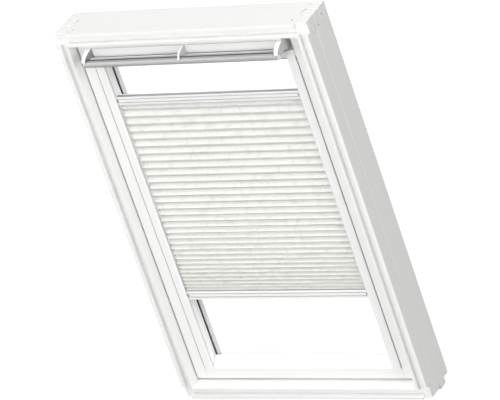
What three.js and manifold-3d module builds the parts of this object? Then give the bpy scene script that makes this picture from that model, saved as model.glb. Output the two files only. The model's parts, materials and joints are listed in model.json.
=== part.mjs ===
// A pivoting roof window with a ventilation flap, a control bar and a pleated blind.
// Millimetres, +Z up the window, +X to the right as seen from the room, -Y towards the room.
// The origin is the middle of the frame's bottom face.
import * as THREE from 'three';
import { mergeVertices } from 'three/addons/utils/BufferGeometryUtils.js';
import Module from 'manifold-3d';

const wasm = await Module();
wasm.setup();

// Clearances shared by the whole unit
const seatGap = 0.3;
const overrun = 5;
const weld = 1;

// Frame: overall size and section, measured inwards from its outer edge and back from its front
const frameWidth = 780;
const frameHeight = 1178;
const frameDepth = 122;
const lipWidth = 12;
const liningGrooveWidth = 17;
const liningGrooveDepth = 13;
const sideNoseWidth = 6.5;
const headNoseWidth = 10;
const sillNoseWidth = 7;
const sideWall = 39.5;
const headWall = 43;
const edgeChamfer = 1;
const sideSealGrooveDepth = 46;
const sealGrooveWidth = 4.5;
const sealGrooveCut = 2;
const sillRebateHeight = 9;
const sillRebateDepth = 25;

// Frame corners: where the lips stop short, and the comb joints' seams behind the front
const headLipStop = 36;
const sillLipStop = 23;
const sideLipTopStop = 31;
const sideLipBottomStop = 38;
const headSeams = [22, 51, 82, 109];
const sillSeams = [22, 66, 97, 109];
const seamCutLength = 33;
const seamCutSide = 2.6;
const seamHookLength = 10;
const hornDrop = 9;
const hornWidth = 30;

// Screws and plugs on the frame's outer faces
const plugRadius = 4;
const screwRadius = 3.2;
const headRecess = 1.6;
const screwHeadThickness = 1.1;
const plugRise = 80;
const plugDepth = 72;
const upperScrewDrop = 22;
const upperScrewDepth = 91;
const lowerScrewDrop = 38;
const lowerScrewDepth = 65;
const headScrewInset = 50;
const headScrewDepth = 27;
const driveSlotWidth = 1.2;
const roundSides = 24;

// Sash: gaps to the frame and section sizes
const sideGap = 3;
const headGap = 6.5;
const sashFront = 30;
const sideFaceWidth = 32.9;
const sillFaceWidth = 32.5;
const headFaceWidth = 59;
const sideLipReach = 62.5;
const sillLipReach = 57;
const headLipReach = 83.5;
const railSeatDepth = 56;
const glazingLip = 6;
const rebateReach = 19;
const sillRebateReach = 31;
const flapRecessDepth = 46;
const flapRecessHeight = 41;

// Glazing
const gasketThickness = 3;
const gasketOverhang = 3;
const gasketWidth = 14;
const gasketSillDrop = 5;
const paneThickness = 4;
const paneSpace = 16;
const paneEdgeClearance = 4;
const spacerWidth = 10;
const spacerSillDrop = 17;
const settingBlockLength = 100;
const settingBlockInset = 110;

// Outer cladding over the sash and the glass edge
const claddingThickness = 6;
const claddingLegDepth = 8;
const claddingInset = 2;
const claddingOverGlass = 14;
const claddingOverSill = 8;
const claddingBevel = 9;

// Pivot hinges at mid height
const pivotBehindFront = 65;
const hingePlateHeight = 80;
const hingePlateWidth = 24;
const hingePlateThickness = 2.7;
const pivotPinRadius = 8;
const pivotPinLength = 9.5;

// Weather seal seated in the frame
const sealBehindFront = 98;
const sealStripWidth = 4;
const sealSeatCut = 4.5;
const sideSealProud = 1.5;
const headSealProud = 2.5;

// Lock
const lockLength = 80;
const lockWidth = 25;
const lockHeight = 22;
const lockBehindFront = 55;
const boltLength = 30;
const boltWidth = 10;
const boltRise = 4;
const keeperThickness = 3;

// Ventilation flap with its hinge rod, arms and control bar
const rodRadius = 3;
const rodBehindFront = 33.5;
const rodBelowSashTop = 9.5;
const rodSocket = 6;
const armBossRadius = 9.5;
const armWidth = 14;
const armTipWidth = 10;
const middleArmWidth = 5.5;
const armInset = 86;
const armCurveBack = 14;
const armCurveReach = 48;
const armCurveHeight = 23;
const armTopDrop = -1;
const armTipAngle = 8;
const armTipHeight = 2;
const armFootThickness = 2;
const armArchReach = 23.5;
const armArchHeight = 9.7;
const armHeelDepth = 30.5;
const armHeelWidth = 3.5;
const armHeelBelow = 38;
const armHeelAngle = 210;
const flapFront = 9;
const flapTopDrop = 0.5;
const flapThickness = 2.5;
const flapRearDepth = 38;
const flapCurveBelow = 13.5;
const flapCurveRadius = 28;
const flapEndAngle = 30;
const flapWebDepth = 20;
const flapWall = 1.5;
const flapLedgeBelow = 31.5;
const flapLipFront = 0.5;
const flapLipBelow = 24.5;
const flapSegments = 8;
const armSegments = 12;
const barEndInset = 2;
const barProud = 34;
const barDepthTop = 8;
const barDepthBottom = 12;
const barLean = 6;
const barGripDrop = 13;
const barGripAngle = 40;
const barToe = 3;
const barHeight = 19;
const barTopDrop = 16.5;
const barWall = 1.6;
const barEndCapLength = 2;

// Guide rails of the blind, seated in the sash's sides
const railFaceWidth = 29.1;
const railBodyWidth = 27.6;
const railProud = 3.5;
const railEdgeDrop = 1;
const railCrownShare = 0.55;
const railEdgeRound = 4;
const railCreviceWidth = 2;
const railCreviceDepth = 6;
const railSlotDepth = 32;
const railSlotWidth = 4;
const railSlotReach = 10.5;
const railWall = 2.5;
const railCapHeight = 29;
const railCapProud = 0.4;

// Blind: rails, sliders and the pleated cloth
const blindRailHeight = 25.5;
const blindRailDepth = 16;
const blindRailFront = 31.3;
const blindSideClearance = 1.2;
const blindRailWall = 1.6;
const blindUpperGrooveHeight = 18.9;
const blindUpperGrooveWidth = 1.6;
const blindLowerGrooveHeight = 8.4;
const blindLowerGrooveWidth = 2.4;
const blindGrooveCut = 3;
const blindRailRound = 2;
const blindChannelCut = 4;
const endNotchLength = 5.5;
const endNotchCut = 6;
const topRailUndersideShare = 0.795;
const bottomRailTopShare = 0.2844;
const sliderTongueThickness = 3.2;
const sliderTongueReach = 9;
const clothPleats = 32;
const clothFacetShare = 1.19;
const clothWeb = 0.8;
const clothTighteningShare = 0.6;
const clothTighteningPower = 1.8;

// Places that follow from the sizes above
const halfWidth = frameWidth / 2;
const noseOuter = lipWidth + liningGrooveWidth;
const sashSide = sideWall + sideGap;
const sashHead = headWall + headGap;
const sashWidth = frameWidth - 2 * sashSide;
const sashTop = frameHeight - sashHead;
const sashBottom = sashHead;
const sidePostInner = sashSide + sideFaceWidth;
const sideLipInner = sashSide + sideLipReach;
const sillLipInner = sashHead + sillLipReach;
const headLipInner = sashHead + headLipReach;
const glazingSeat = railSeatDepth + glazingLip;
const innerPaneFront = glazingSeat + gasketThickness;
const spacerFront = innerPaneFront + paneThickness;
const outerPaneFront = spacerFront + paneSpace;
const outerPaneBack = outerPaneFront + paneThickness;
const outerGasketBack = outerPaneBack + gasketThickness;
const sashBack = outerGasketBack + claddingLegDepth;
const paneSide = sideLipInner - rebateReach + paneEdgeClearance;
const paneSill = sillLipInner - sillRebateReach + paneEdgeClearance;
const paneHead = headLipInner - rebateReach + paneEdgeClearance;
const midHeight = frameHeight / 2;
const rodHeight = sashTop - rodBelowSashTop;
const railInner = sidePostInner + seatGap + railBodyWidth;
const blindSide = railInner + blindSideClearance;
const topRailUnderside = frameHeight * topRailUndersideShare;
const bottomRailTop = frameHeight * bottomRailTopShare;

const white = { color: 0xf4f4f2, roughness: 0.4, metalness: 0 };
const finishes = {
  white,
  railWhite: { color: 0xf6f6f4, roughness: 0.3, metalness: 0 },
  aluminium: { color: 0xc4c6c6, roughness: 0.35, metalness: 0.9 },
  cladding: { color: 0x6f7173, roughness: 0.5, metalness: 0.6 },
  glass: { color: 0xdfeae6, roughness: 0.05, metalness: 0 },
  spacer: { color: 0xb8b9b8, roughness: 0.5, metalness: 0.2 },
  rubber: { color: 0x2b2c2c, roughness: 0.8, metalness: 0 },
  steel: { color: 0x9a9c9e, roughness: 0.4, metalness: 0.9 },
  plug: { color: 0xd8d8d6, roughness: 0.5, metalness: 0 },
  slider: { color: 0x8c8e8e, roughness: 0.6, metalness: 0 },
  cloth: { color: 0xecece6, roughness: 0.9, metalness: 0 },
};

const unit = new THREE.Group();

function add(name, finish, geometry) {
  const mesh = new THREE.Mesh(geometry, new THREE.MeshStandardMaterial(finishes[finish]));
  mesh.name = name;
  unit.add(mesh);
}

function outline(points) {
  const corners = points.map(([a, b]) => new THREE.Vector2(a, b));
  return new THREE.Shape(THREE.ShapeUtils.isClockWise(corners) ? corners.reverse() : corners);
}

// A section drawn in (x, y), run up the window from z0 to z1
function alongZ(points, z0, z1, holes = []) {
  const shape = outline(points);
  shape.holes = holes.map(outline);
  const geometry = new THREE.ExtrudeGeometry(shape, { depth: z1 - z0, bevelEnabled: false });
  return geometry.translate(0, 0, z0);
}

// A section drawn in (y, z), run across the window from x0 to x1
function alongX(points, x0, x1, holes = []) {
  const shape = outline(points);
  shape.holes = holes.map(outline);
  const geometry = new THREE.ExtrudeGeometry(shape, { depth: x1 - x0, bevelEnabled: false });
  geometry.applyMatrix4(new THREE.Matrix4().set(0, 0, 1, 0, 1, 0, 0, 0, 0, 1, 0, 0, 0, 0, 0, 1));
  return geometry.translate(x0, 0, 0);
}

// A face drawn in (x, z), run back from y0 to y1
function alongY(points, y0, y1, holes = []) {
  const shape = outline(points);
  shape.holes = holes.map(outline);
  const geometry = new THREE.ExtrudeGeometry(shape, { depth: y1 - y0, bevelEnabled: false });
  return geometry.rotateX(Math.PI / 2).translate(0, y1, 0);
}

function block(x0, x1, y0, y1, z0, z1) {
  const geometry = new THREE.BoxGeometry(x1 - x0, y1 - y0, z1 - z0);
  return geometry.translate((x0 + x1) / 2, (y0 + y1) / 2, (z0 + z1) / 2);
}

function disc(radius, length, axis) {
  const geometry = new THREE.CylinderGeometry(radius, radius, length, roundSides);
  if (axis === 'x') geometry.rotateZ(Math.PI / 2);
  if (axis === 'z') geometry.rotateX(Math.PI / 2);
  return geometry;
}

function rectangle(a0, a1, b0, b1) {
  return [[a0, b0], [a1, b0], [a1, b1], [a0, b1]];
}

function toSolid(geometry) {
  const bare = geometry.clone();
  bare.deleteAttribute('normal');
  bare.deleteAttribute('uv');
  const merged = mergeVertices(bare);
  return new wasm.Manifold(new wasm.Mesh({
    numProp: 3,
    vertProperties: new Float32Array(merged.attributes.position.array),
    triVerts: new Uint32Array(merged.index.array),
  }));
}

function toGeometry(solid) {
  const mesh = solid.getMesh();
  const geometry = new THREE.BufferGeometry();
  geometry.setAttribute('position', new THREE.BufferAttribute(new Float32Array(mesh.vertProperties), 3));
  geometry.setIndex(new THREE.BufferAttribute(new Uint32Array(mesh.triVerts), 1));
  geometry.computeVertexNormals();
  return geometry;
}

function cut(base, ...tools) {
  return tools.reduce((solid, tool) => solid.subtract(toSolid(tool)), base);
}

function join(...geometries) {
  return geometries.map(toSolid).reduce((all, one) => all.add(one));
}

const sides = [['left', -1], ['right', 1]];

// Places a section given as (inset from the outer edge, depth behind the front)
const onSide = (points, side) => points.map(([inset, depth]) => [side * (halfWidth - inset), depth]);
const onHead = (points) => points.map(([inset, depth]) => [depth, frameHeight - inset]);
const onSill = (points) => points.map(([inset, depth]) => [depth, inset]);

// Frame

function noseEdge(noseWidth, wall, depth) {
  const nose = noseOuter + noseWidth;
  return nose + (wall - nose) * depth / sashFront;
}

function lipSection() {
  return [
    [0, edgeChamfer], [edgeChamfer, 0], [lipWidth - edgeChamfer, 0], [lipWidth, edgeChamfer],
    [lipWidth, liningGrooveDepth + weld], [0, liningGrooveDepth + weld],
  ];
}

function noseSection(noseWidth, wall) {
  const inner = noseOuter + noseWidth;
  const root = liningGrooveDepth + weld;
  return [
    [noseOuter, edgeChamfer], [noseOuter + edgeChamfer, 0], [inner - edgeChamfer, 0],
    [noseEdge(noseWidth, wall, edgeChamfer), edgeChamfer], [noseEdge(noseWidth, wall, root), root],
    [noseOuter, root],
  ];
}

function sideBodySection() {
  const edge = noseEdge(sideNoseWidth, sideWall, liningGrooveDepth);
  const groove = sideSealGrooveDepth - sealGrooveWidth / 2;
  return [
    [0, liningGrooveDepth], [edge, liningGrooveDepth], [sideWall, sashFront], [sideWall, frameDepth],
    [0, frameDepth], [0, groove + sealGrooveWidth], [sealGrooveCut, groove + weld],
    [sealGrooveCut, groove], [0, groove],
  ];
}

function headBodySection() {
  const edge = noseEdge(headNoseWidth, headWall, liningGrooveDepth);
  return [
    [0, liningGrooveDepth], [edge, liningGrooveDepth], [headWall, sashFront], [headWall, frameDepth],
    [0, frameDepth],
  ];
}

function sillBodySection() {
  const edge = noseEdge(sillNoseWidth, headWall, liningGrooveDepth);
  return [
    [0, liningGrooveDepth], [edge, liningGrooveDepth], [headWall, sashFront], [headWall, frameDepth],
    [sillRebateHeight, frameDepth], [sillRebateHeight, frameDepth - sillRebateDepth],
    [0, frameDepth - sillRebateDepth],
  ];
}

// The whole frame as one ring, before it is split into its four members
function frameRing() {
  const parts = [];
  for (const [, side] of sides) {
    parts.push(alongZ(onSide(sideBodySection(), side), 0, frameHeight));
    parts.push(alongZ(onSide(noseSection(sideNoseWidth, sideWall), side), noseOuter, frameHeight - noseOuter));
    parts.push(alongZ(onSide(lipSection(), side), sideLipBottomStop, frameHeight - sideLipTopStop));
  }
  const noseEnd = halfWidth - noseOuter;
  parts.push(alongX(onHead(headBodySection()), -halfWidth, halfWidth));
  parts.push(alongX(onHead(noseSection(headNoseWidth, headWall)), -noseEnd, noseEnd));
  parts.push(alongX(onHead(lipSection()), headLipStop - halfWidth, halfWidth - headLipStop));
  parts.push(alongX(onSill(sillBodySection()), -halfWidth, halfWidth));
  parts.push(alongX(onSill(noseSection(sillNoseWidth, headWall)), -noseEnd, noseEnd));
  parts.push(alongX(onSill(lipSection()), sillLipStop - halfWidth, halfWidth - sillLipStop));
  const sillRebate = block(-halfWidth - overrun, halfWidth + overrun,
    frameDepth - sillRebateDepth, frameDepth + overrun, -overrun, sillRebateHeight);
  return cut(join(...parts), sillRebate);
}

// Depth ranges of a corner's fingers, front to back: the side members own the even ones
function fingerRanges(seams) {
  const edges = [-overrun, ...seams, frameDepth + overrun];
  return edges.slice(1).map((edge, i) => [edges[i] + seatGap / 2, edge - seatGap / 2]);
}

function sideMask(side) {
  const inner = side * (halfWidth - sideWall);
  const outer = side * (halfWidth + overrun);
  const x0 = Math.min(inner, outer);
  const x1 = Math.max(inner, outer);
  const masks = [block(x0, x1, -overrun, frameDepth + overrun, headWall, frameHeight - headWall)];
  for (const [seams, z0, z1] of [
    [headSeams, frameHeight - headWall - weld, frameHeight + overrun],
    [sillSeams, -overrun, headWall + weld],
  ]) {
    fingerRanges(seams).forEach(([y0, y1], i) => {
      if (i % 2 === 0) masks.push(block(x0, x1, y0, y1, z0, z1));
    });
  }
  return cut(join(...masks), cornerLip(-overrun, noseOuter, liningGrooveDepth),
    cornerLip(frameHeight - noseOuter, frameHeight + overrun, liningGrooveDepth));
}

// The lips' ends in front of the corner blocks, which belong to the head and the sill
function cornerLip(z0, z1, depth) {
  return block(-halfWidth - overrun, halfWidth + overrun, -overrun, depth, z0, z1);
}

function crossMask(seams, z0, z1, lip) {
  const span = halfWidth - sideWall - seatGap;
  const masks = [block(-span, span, -overrun, frameDepth + overrun, z0, z1), lip];
  fingerRanges(seams).forEach(([y0, y1], i) => {
    if (i % 2 === 1) masks.push(block(-halfWidth - overrun, halfWidth + overrun, y0, y1, z0, z1));
  });
  return join(...masks);
}

// Shadow grooves along the seams of a corner's comb joint, on its end face and on its side face
function seamGrooves(side, endHeight, inwards, seams) {
  const grooves = [];
  for (const depth of seams) {
    const bar = new THREE.BoxGeometry(seamCutLength, seamCutSide, seamCutSide);
    bar.rotateX(Math.PI / 4);
    bar.translate(side * (halfWidth - seamCutLength / 2 + weld), depth, endHeight);
    const post = new THREE.BoxGeometry(seamCutSide, seamCutSide, seamCutLength);
    post.rotateZ(Math.PI / 4);
    post.translate(side * halfWidth, depth, endHeight + inwards * (seamCutLength / 2 - weld));
    const hook = new THREE.BoxGeometry(seamCutSide, seamHookLength, seamCutSide);
    hook.rotateY(Math.PI / 4);
    hook.translate(side * (halfWidth - seamCutLength + weld), depth - seamHookLength / 2, endHeight);
    grooves.push(bar, post, hook);
  }
  return grooves;
}

const sideFaceSpots = [
  ['plug_upper', plugRadius, plugDepth, frameHeight - plugRise],
  ['plug_lower', plugRadius, plugDepth, plugRise],
  ['corner_screw_upper', screwRadius, upperScrewDepth, frameHeight - upperScrewDrop],
  ['corner_screw_lower', screwRadius, lowerScrewDepth, frameHeight - lowerScrewDrop],
];

function frameRecesses() {
  const recesses = [];
  for (const [, side] of sides) {
    for (const [, radius, depth, height] of sideFaceSpots) {
      recesses.push(disc(radius, 2 * headRecess, 'x').translate(side * halfWidth, depth, height));
    }
    recesses.push(disc(screwRadius, 2 * headRecess, 'z')
      .translate(side * (halfWidth - headScrewInset), headScrewDepth, frameHeight));
    const plateSeat = side * (halfWidth - sideWall);
    recesses.push(block(plateSeat - hingePlateThickness - seatGap, plateSeat + hingePlateThickness + seatGap,
      pivotBehindFront - hingePlateWidth / 2, pivotBehindFront + hingePlateWidth / 2,
      midHeight - hingePlateHeight / 2, midHeight + hingePlateHeight / 2));
  }
  const keeperSeat = frameHeight - headWall;
  recesses.push(block(-lockLength / 2, lockLength / 2, lockBehindFront, lockBehindFront + lockWidth,
    keeperSeat - overrun, keeperSeat + keeperThickness + seatGap));
  recesses.push(sealRing(sealSeatCut, 0, 0, 0));
  return recesses;
}

function addFrame() {
  const grooves = [];
  for (const [, side] of sides) {
    grooves.push(...seamGrooves(side, frameHeight, -1, headSeams));
    grooves.push(...seamGrooves(side, 0, 1, sillSeams));
  }
  const ring = cut(frameRing(), ...grooves, ...frameRecesses());
  add('frame_top', 'white', toGeometry(ring.intersect(
    crossMask(headSeams, frameHeight - headWall + seatGap, frameHeight + overrun,
      cornerLip(frameHeight - noseOuter + seatGap, frameHeight + overrun, liningGrooveDepth - seatGap)))));
  add('frame_bottom', 'white', toGeometry(ring.intersect(
    crossMask(sillSeams, -overrun, headWall - seatGap,
      cornerLip(-overrun, noseOuter - seatGap, liningGrooveDepth - seatGap)))));
  for (const [name, side] of sides) {
    const edge = side * halfWidth;
    const inner = side * (halfWidth - hornWidth);
    const horn = block(Math.min(edge, inner), Math.max(edge, inner),
      sillSeams[1] + seatGap / 2, sillSeams[2] - seatGap / 2, -hornDrop, weld);
    add(`frame_${name}`, 'white', toGeometry(ring.intersect(sideMask(side)).add(toSolid(horn))));
  }
}

function screwHead(radius, axis) {
  const head = toSolid(disc(radius - seatGap, screwHeadThickness, axis));
  const long = 2 * radius - 2 * weld;
  const slots = axis === 'x'
    ? [block(0, screwHeadThickness, -long / 2, long / 2, -driveSlotWidth / 2, driveSlotWidth / 2),
      block(0, screwHeadThickness, -driveSlotWidth / 2, driveSlotWidth / 2, -long / 2, long / 2)]
    : [block(-long / 2, long / 2, -driveSlotWidth / 2, driveSlotWidth / 2, 0, screwHeadThickness),
      block(-driveSlotWidth / 2, driveSlotWidth / 2, -long / 2, long / 2, 0, screwHeadThickness)];
  return cut(head, ...slots);
}

function addFrameFixings() {
  const headCentre = headRecess - seatGap - screwHeadThickness / 2;
  for (const [name, side] of sides) {
    for (const [spot, radius, depth, height] of sideFaceSpots) {
      const plain = spot.startsWith('plug');
      const geometry = plain
        ? disc(radius - seatGap, screwHeadThickness, 'x')
        : toGeometry(screwHead(radius, 'x'));
      if (!plain && side < 0) geometry.rotateZ(Math.PI);
      geometry.translate(side * (halfWidth - headCentre), depth, height);
      add(`${spot}_${name}`, plain ? 'plug' : 'steel', geometry);
    }
    const top = toGeometry(screwHead(screwRadius, 'z'));
    top.translate(side * (halfWidth - headScrewInset), headScrewDepth, frameHeight - headCentre);
    add(`head_screw_${name}`, 'steel', top);
  }
}

// Weather seal: a strip all round, cut into the frame's inner walls and standing proud of them

function sealRing(cutIn, sideProud, headProud, clearance) {
  const outer = rectangle(sideWall - cutIn + clearance - halfWidth, halfWidth - sideWall + cutIn - clearance,
    headWall - cutIn + clearance, frameHeight - headWall + cutIn - clearance);
  const innerSide = clearance ? sideWall + sideProud : sideWall + overrun;
  const innerHead = clearance ? headWall + headProud : headWall + overrun;
  const inner = rectangle(innerSide - halfWidth, halfWidth - innerSide, innerHead, frameHeight - innerHead);
  return alongY(outer, sealBehindFront + clearance, sealBehindFront + sealStripWidth - clearance, [inner]);
}

function addSeal() {
  add('weather_seal', 'rubber', sealRing(sealSeatCut, sideSealProud, headSealProud, seatGap));
}

// Pivot hinges: a plate with a pin in the frame, and a plate with its socket in the sash

function addPivots() {
  for (const [name, side] of sides) {
    const seat = halfWidth - sideWall;
    const plate = rectangle(pivotBehindFront - hingePlateWidth / 2 + seatGap,
      pivotBehindFront + hingePlateWidth / 2 - seatGap,
      midHeight - hingePlateHeight / 2 + seatGap, midHeight + hingePlateHeight / 2 - seatGap);
    const framePlate = alongX(plate, Math.min(side * seat, side * (seat + hingePlateThickness)),
      Math.max(side * seat, side * (seat + hingePlateThickness)));
    const pin = disc(pivotPinRadius, pivotPinLength + weld, 'x')
      .translate(side * (seat - (pivotPinLength - weld) / 2), pivotBehindFront, midHeight);
    add(`frame_pivot_${name}`, 'steel', toGeometry(join(framePlate, pin)));

    const face = halfWidth - sashSide;
    const sashPlate = alongX(plate, Math.min(side * face, side * (face - hingePlateThickness)),
      Math.max(side * face, side * (face - hingePlateThickness)));
    const socket = disc(pivotPinRadius + seatGap, 2 * pivotPinLength, 'x')
      .translate(side * face, pivotBehindFront, midHeight);
    add(`sash_pivot_${name}`, 'steel', toGeometry(cut(toSolid(sashPlate), socket)));
  }
}

// Sash

function sashSideSection() {
  const rebate = sideLipInner - rebateReach;
  return [
    [sashSide, sashFront], [sidePostInner, sashFront], [sidePostInner, railSeatDepth],
    [sideLipInner, railSeatDepth], [sideLipInner, glazingSeat], [rebate, glazingSeat],
    [rebate, sashBack], [sashSide, sashBack],
  ];
}

// The slope from the sash's front face down to the glass, along its head or its sill
function slopeInset(faceWidth, lipReach, depth) {
  const share = (depth - sashFront) / (glazingSeat - weld - sashFront);
  return sashHead + faceWidth + (lipReach - faceWidth) * share;
}

const sillSlope = (depth) => slopeInset(sillFaceWidth, sillLipReach, depth);
const headSlope = (depth) => slopeInset(headFaceWidth, headLipReach, depth);

function sashSillSection() {
  const rebate = sillLipInner - sillRebateReach;
  return [
    [sashHead, sashFront], [sillSlope(sashFront), sashFront], [sillLipInner, glazingSeat - weld],
    [sillLipInner, glazingSeat], [rebate, glazingSeat], [rebate, sashBack], [sashHead, sashBack],
  ];
}

function sashHeadSection() {
  const rebate = headLipInner - rebateReach;
  return [
    [sashHead, flapRecessDepth], [sashHead + flapRecessHeight, flapRecessDepth],
    [sashHead + flapRecessHeight, sashFront], [headSlope(sashFront), sashFront],
    [headLipInner, glazingSeat - weld], [headLipInner, glazingSeat], [rebate, glazingSeat],
    [rebate, sashBack], [sashHead, sashBack],
  ];
}

function addSash() {
  const crossSpan = halfWidth - sidePostInner - seatGap;
  add('sash_bottom', 'white', alongX(onSill(sashSillSection()), -crossSpan, crossSpan));
  const lockPocket = block(-lockLength / 2 - seatGap, lockLength / 2 + seatGap,
    lockBehindFront - seatGap, lockBehindFront + lockWidth + seatGap,
    sashTop - lockHeight - seatGap, sashTop + overrun);
  add('sash_top', 'white', toGeometry(cut(toSolid(
    alongX(onHead(sashHeadSection()), -crossSpan, crossSpan)), lockPocket)));
  for (const [name, side] of sides) {
    const post = toSolid(alongZ(onSide(sashSideSection(), side), sashBottom, sashTop));
    const inner = side * (halfWidth - sidePostInner);
    const beyond = side * (halfWidth - sideLipInner - overrun);
    const x0 = Math.min(inner, beyond);
    const x1 = Math.max(inner, beyond);
    const back = sashBack + overrun;
    const sillCope = block(x0, x1, sashFront, back, sashBottom - overrun, sillLipInner + seatGap);
    const headCope = block(x0, x1, sashFront, back, frameHeight - headLipInner - seatGap, sashTop + overrun);
    const face = side * (halfWidth - sashSide);
    const plateSeat = block(face - hingePlateThickness - seatGap, face + hingePlateThickness + seatGap,
      pivotBehindFront - hingePlateWidth / 2, pivotBehindFront + hingePlateWidth / 2,
      midHeight - hingePlateHeight / 2, midHeight + hingePlateHeight / 2);
    const pinWell = disc(pivotPinRadius + 2 * seatGap, 2 * pivotPinLength, 'x')
      .translate(face, pivotBehindFront, midHeight);
    const rodWell = disc(rodRadius + seatGap, 2 * rodSocket, 'x')
      .translate(inner, rodBehindFront, rodHeight);
    add(`sash_${name}`, 'white', toGeometry(cut(post, sillCope, headCope, plateSeat, pinWell, rodWell)));
  }
}

function addLock() {
  const x = lockLength / 2;
  const caseBlock = block(-x, x, lockBehindFront, lockBehindFront + lockWidth, sashTop - lockHeight, sashTop);
  const boltMiddle = lockBehindFront + lockWidth / 2;
  const bolt = block(-boltLength / 2, boltLength / 2, boltMiddle - boltWidth / 2, boltMiddle + boltWidth / 2,
    sashTop - weld, sashTop + boltRise);
  add('lock_case', 'steel', toGeometry(join(caseBlock, bolt)));
  const keeperUnderside = frameHeight - headWall;
  const plate = block(-x + seatGap, x - seatGap, lockBehindFront + seatGap,
    lockBehindFront + lockWidth - seatGap, keeperUnderside, keeperUnderside + keeperThickness);
  const mouth = block(-boltLength / 2 - overrun, boltLength / 2 + overrun,
    boltMiddle - boltWidth / 2 - weld, boltMiddle + boltWidth / 2 + weld,
    keeperUnderside - overrun, keeperUnderside + keeperThickness + overrun);
  add('lock_keeper', 'steel', toGeometry(cut(toSolid(plate), mouth)));
}

// Glazing

// A ring round the glass; its inner edge overhangs the sash's lips by the given amount
function glazingRing(overhang, width, sillDrop, y0, y1) {
  const x = halfWidth - sideLipInner - overhang;
  const z0 = sillLipInner + overhang - sillDrop;
  const z1 = frameHeight - headLipInner - overhang;
  const outer = rectangle(-x - width, x + width, z0 - width, z1 + width);
  return alongY(outer, y0, y1, [rectangle(-x, x, z0, z1)]);
}

function addGlazing() {
  const x = halfWidth - paneSide;
  const pane = (y0) => block(-x, x, y0, y0 + paneThickness, paneSill, frameHeight - paneHead);
  add('inner_pane', 'glass', pane(innerPaneFront));
  add('outer_pane', 'glass', pane(outerPaneFront));
  add('spacer_bar', 'spacer', glazingRing(gasketOverhang, spacerWidth, spacerSillDrop,
    spacerFront + seatGap, outerPaneFront - seatGap));
  add('inner_gasket', 'rubber', glazingRing(gasketOverhang, gasketWidth, gasketSillDrop,
    glazingSeat + seatGap, innerPaneFront - seatGap));
  add('outer_gasket', 'rubber', glazingRing(0, gasketWidth - gasketOverhang, spacerSillDrop,
    outerPaneBack + seatGap, outerGasketBack - seatGap));
  for (const [name, side] of sides) {
    const middle = side * (halfWidth - paneSide - settingBlockInset);
    add(`setting_block_${name}`, 'rubber', block(middle - settingBlockLength / 2,
      middle + settingBlockLength / 2, innerPaneFront, outerPaneBack,
      paneSill - paneEdgeClearance + seatGap, paneSill - seatGap));
  }
}

// Cladding: a bevelled cover with a leg that holds the glass edge, mitred at the corners

function claddingSection(outerInset, rebate, overGlass) {
  const seat = sashBack + seatGap;
  const leg = rebate + seatGap;
  const reach = rebate + overGlass;
  return [
    [outerInset, seat], [leg, seat], [leg, outerGasketBack + seatGap], [reach, outerGasketBack + seatGap],
    [reach, outerGasketBack + claddingThickness / 2], [reach - claddingBevel, seat + claddingThickness],
    [outerInset + edgeChamfer, seat + claddingThickness], [outerInset, seat + claddingThickness - edgeChamfer],
  ];
}

function addCladding() {
  const headRebate = headLipInner - rebateReach;
  const sillRebate = sillLipInner - sillRebateReach;
  const sideRebate = sideLipInner - rebateReach;
  const sideSection = claddingSection(sashSide + claddingInset, sideRebate, claddingOverGlass);
  const headSection = claddingSection(sashHead + claddingInset, headRebate, claddingOverGlass);
  const sillSection = claddingSection(sashHead + claddingInset, sillRebate, claddingOverSill);
  const crossSpan = halfWidth - sashSide - claddingInset;
  const legSpan = halfWidth - sideRebate - seatGap;
  const ends = [[-frameWidth, -legSpan], [legSpan, frameWidth]].map(([x0, x1]) =>
    block(x0, x1, glazingSeat, sashBack + seatGap, -overrun, frameHeight));
  const across = (points) => toGeometry(cut(toSolid(alongX(points, -crossSpan, crossSpan)), ...ends));
  add('cladding_top', 'cladding', across(onHead(headSection)));
  add('cladding_bottom', 'cladding', across(onSill(sillSection)));
  for (const [name, side] of sides) {
    add(`cladding_${name}`, 'cladding', alongZ(onSide(sideSection, side),
      sillRebate + claddingOverSill + seatGap, frameHeight - headRebate - claddingOverGlass - seatGap));
  }
}

// Ventilation flap

const degree = Math.PI / 180;
const sashTopDepth = (points) => points.map(([depth, below]) => [depth, sashTop - below]);

function ellipsePoints(depth, below, reach, height, from, to, segments) {
  return Array.from({ length: segments + 1 }, (_, i) => {
    const angle = (from + (to - from) * i / segments) * degree;
    return [depth - reach * Math.cos(angle), below - height * Math.sin(angle)];
  });
}

// Points are (depth behind the frame's front, distance below the sash's top).
// The flap's face hangs in front of a web whose ledge ends in an upturned lip
function flapSection() {
  const centre = flapFront + flapCurveRadius;
  const inner = flapCurveRadius - flapThickness;
  const outerArc = ellipsePoints(centre, flapCurveBelow, flapCurveRadius, flapCurveRadius,
    0, -flapEndAngle, flapSegments);
  const innerArc = ellipsePoints(centre, flapCurveBelow, inner, inner, -flapEndAngle, 0, flapSegments);
  const topInner = flapTopDrop + flapThickness;
  const webBack = flapWebDepth + flapWall;
  const lipBack = flapLipFront + flapThickness;
  const ledgeTop = flapLedgeBelow - flapWall;
  return [
    [flapRearDepth, flapTopDrop], [flapFront, flapTopDrop], ...outerArc, ...innerArc,
    [flapFront + flapThickness, topInner], [flapWebDepth, topInner], [flapWebDepth, ledgeTop],
    [lipBack, ledgeTop], [lipBack, flapLipBelow], [flapLipFront, flapLipBelow],
    [flapLipFront, flapLedgeBelow], [webBack, flapLedgeBelow], [webBack, topInner],
    [flapRearDepth, topInner],
  ];
}

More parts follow.
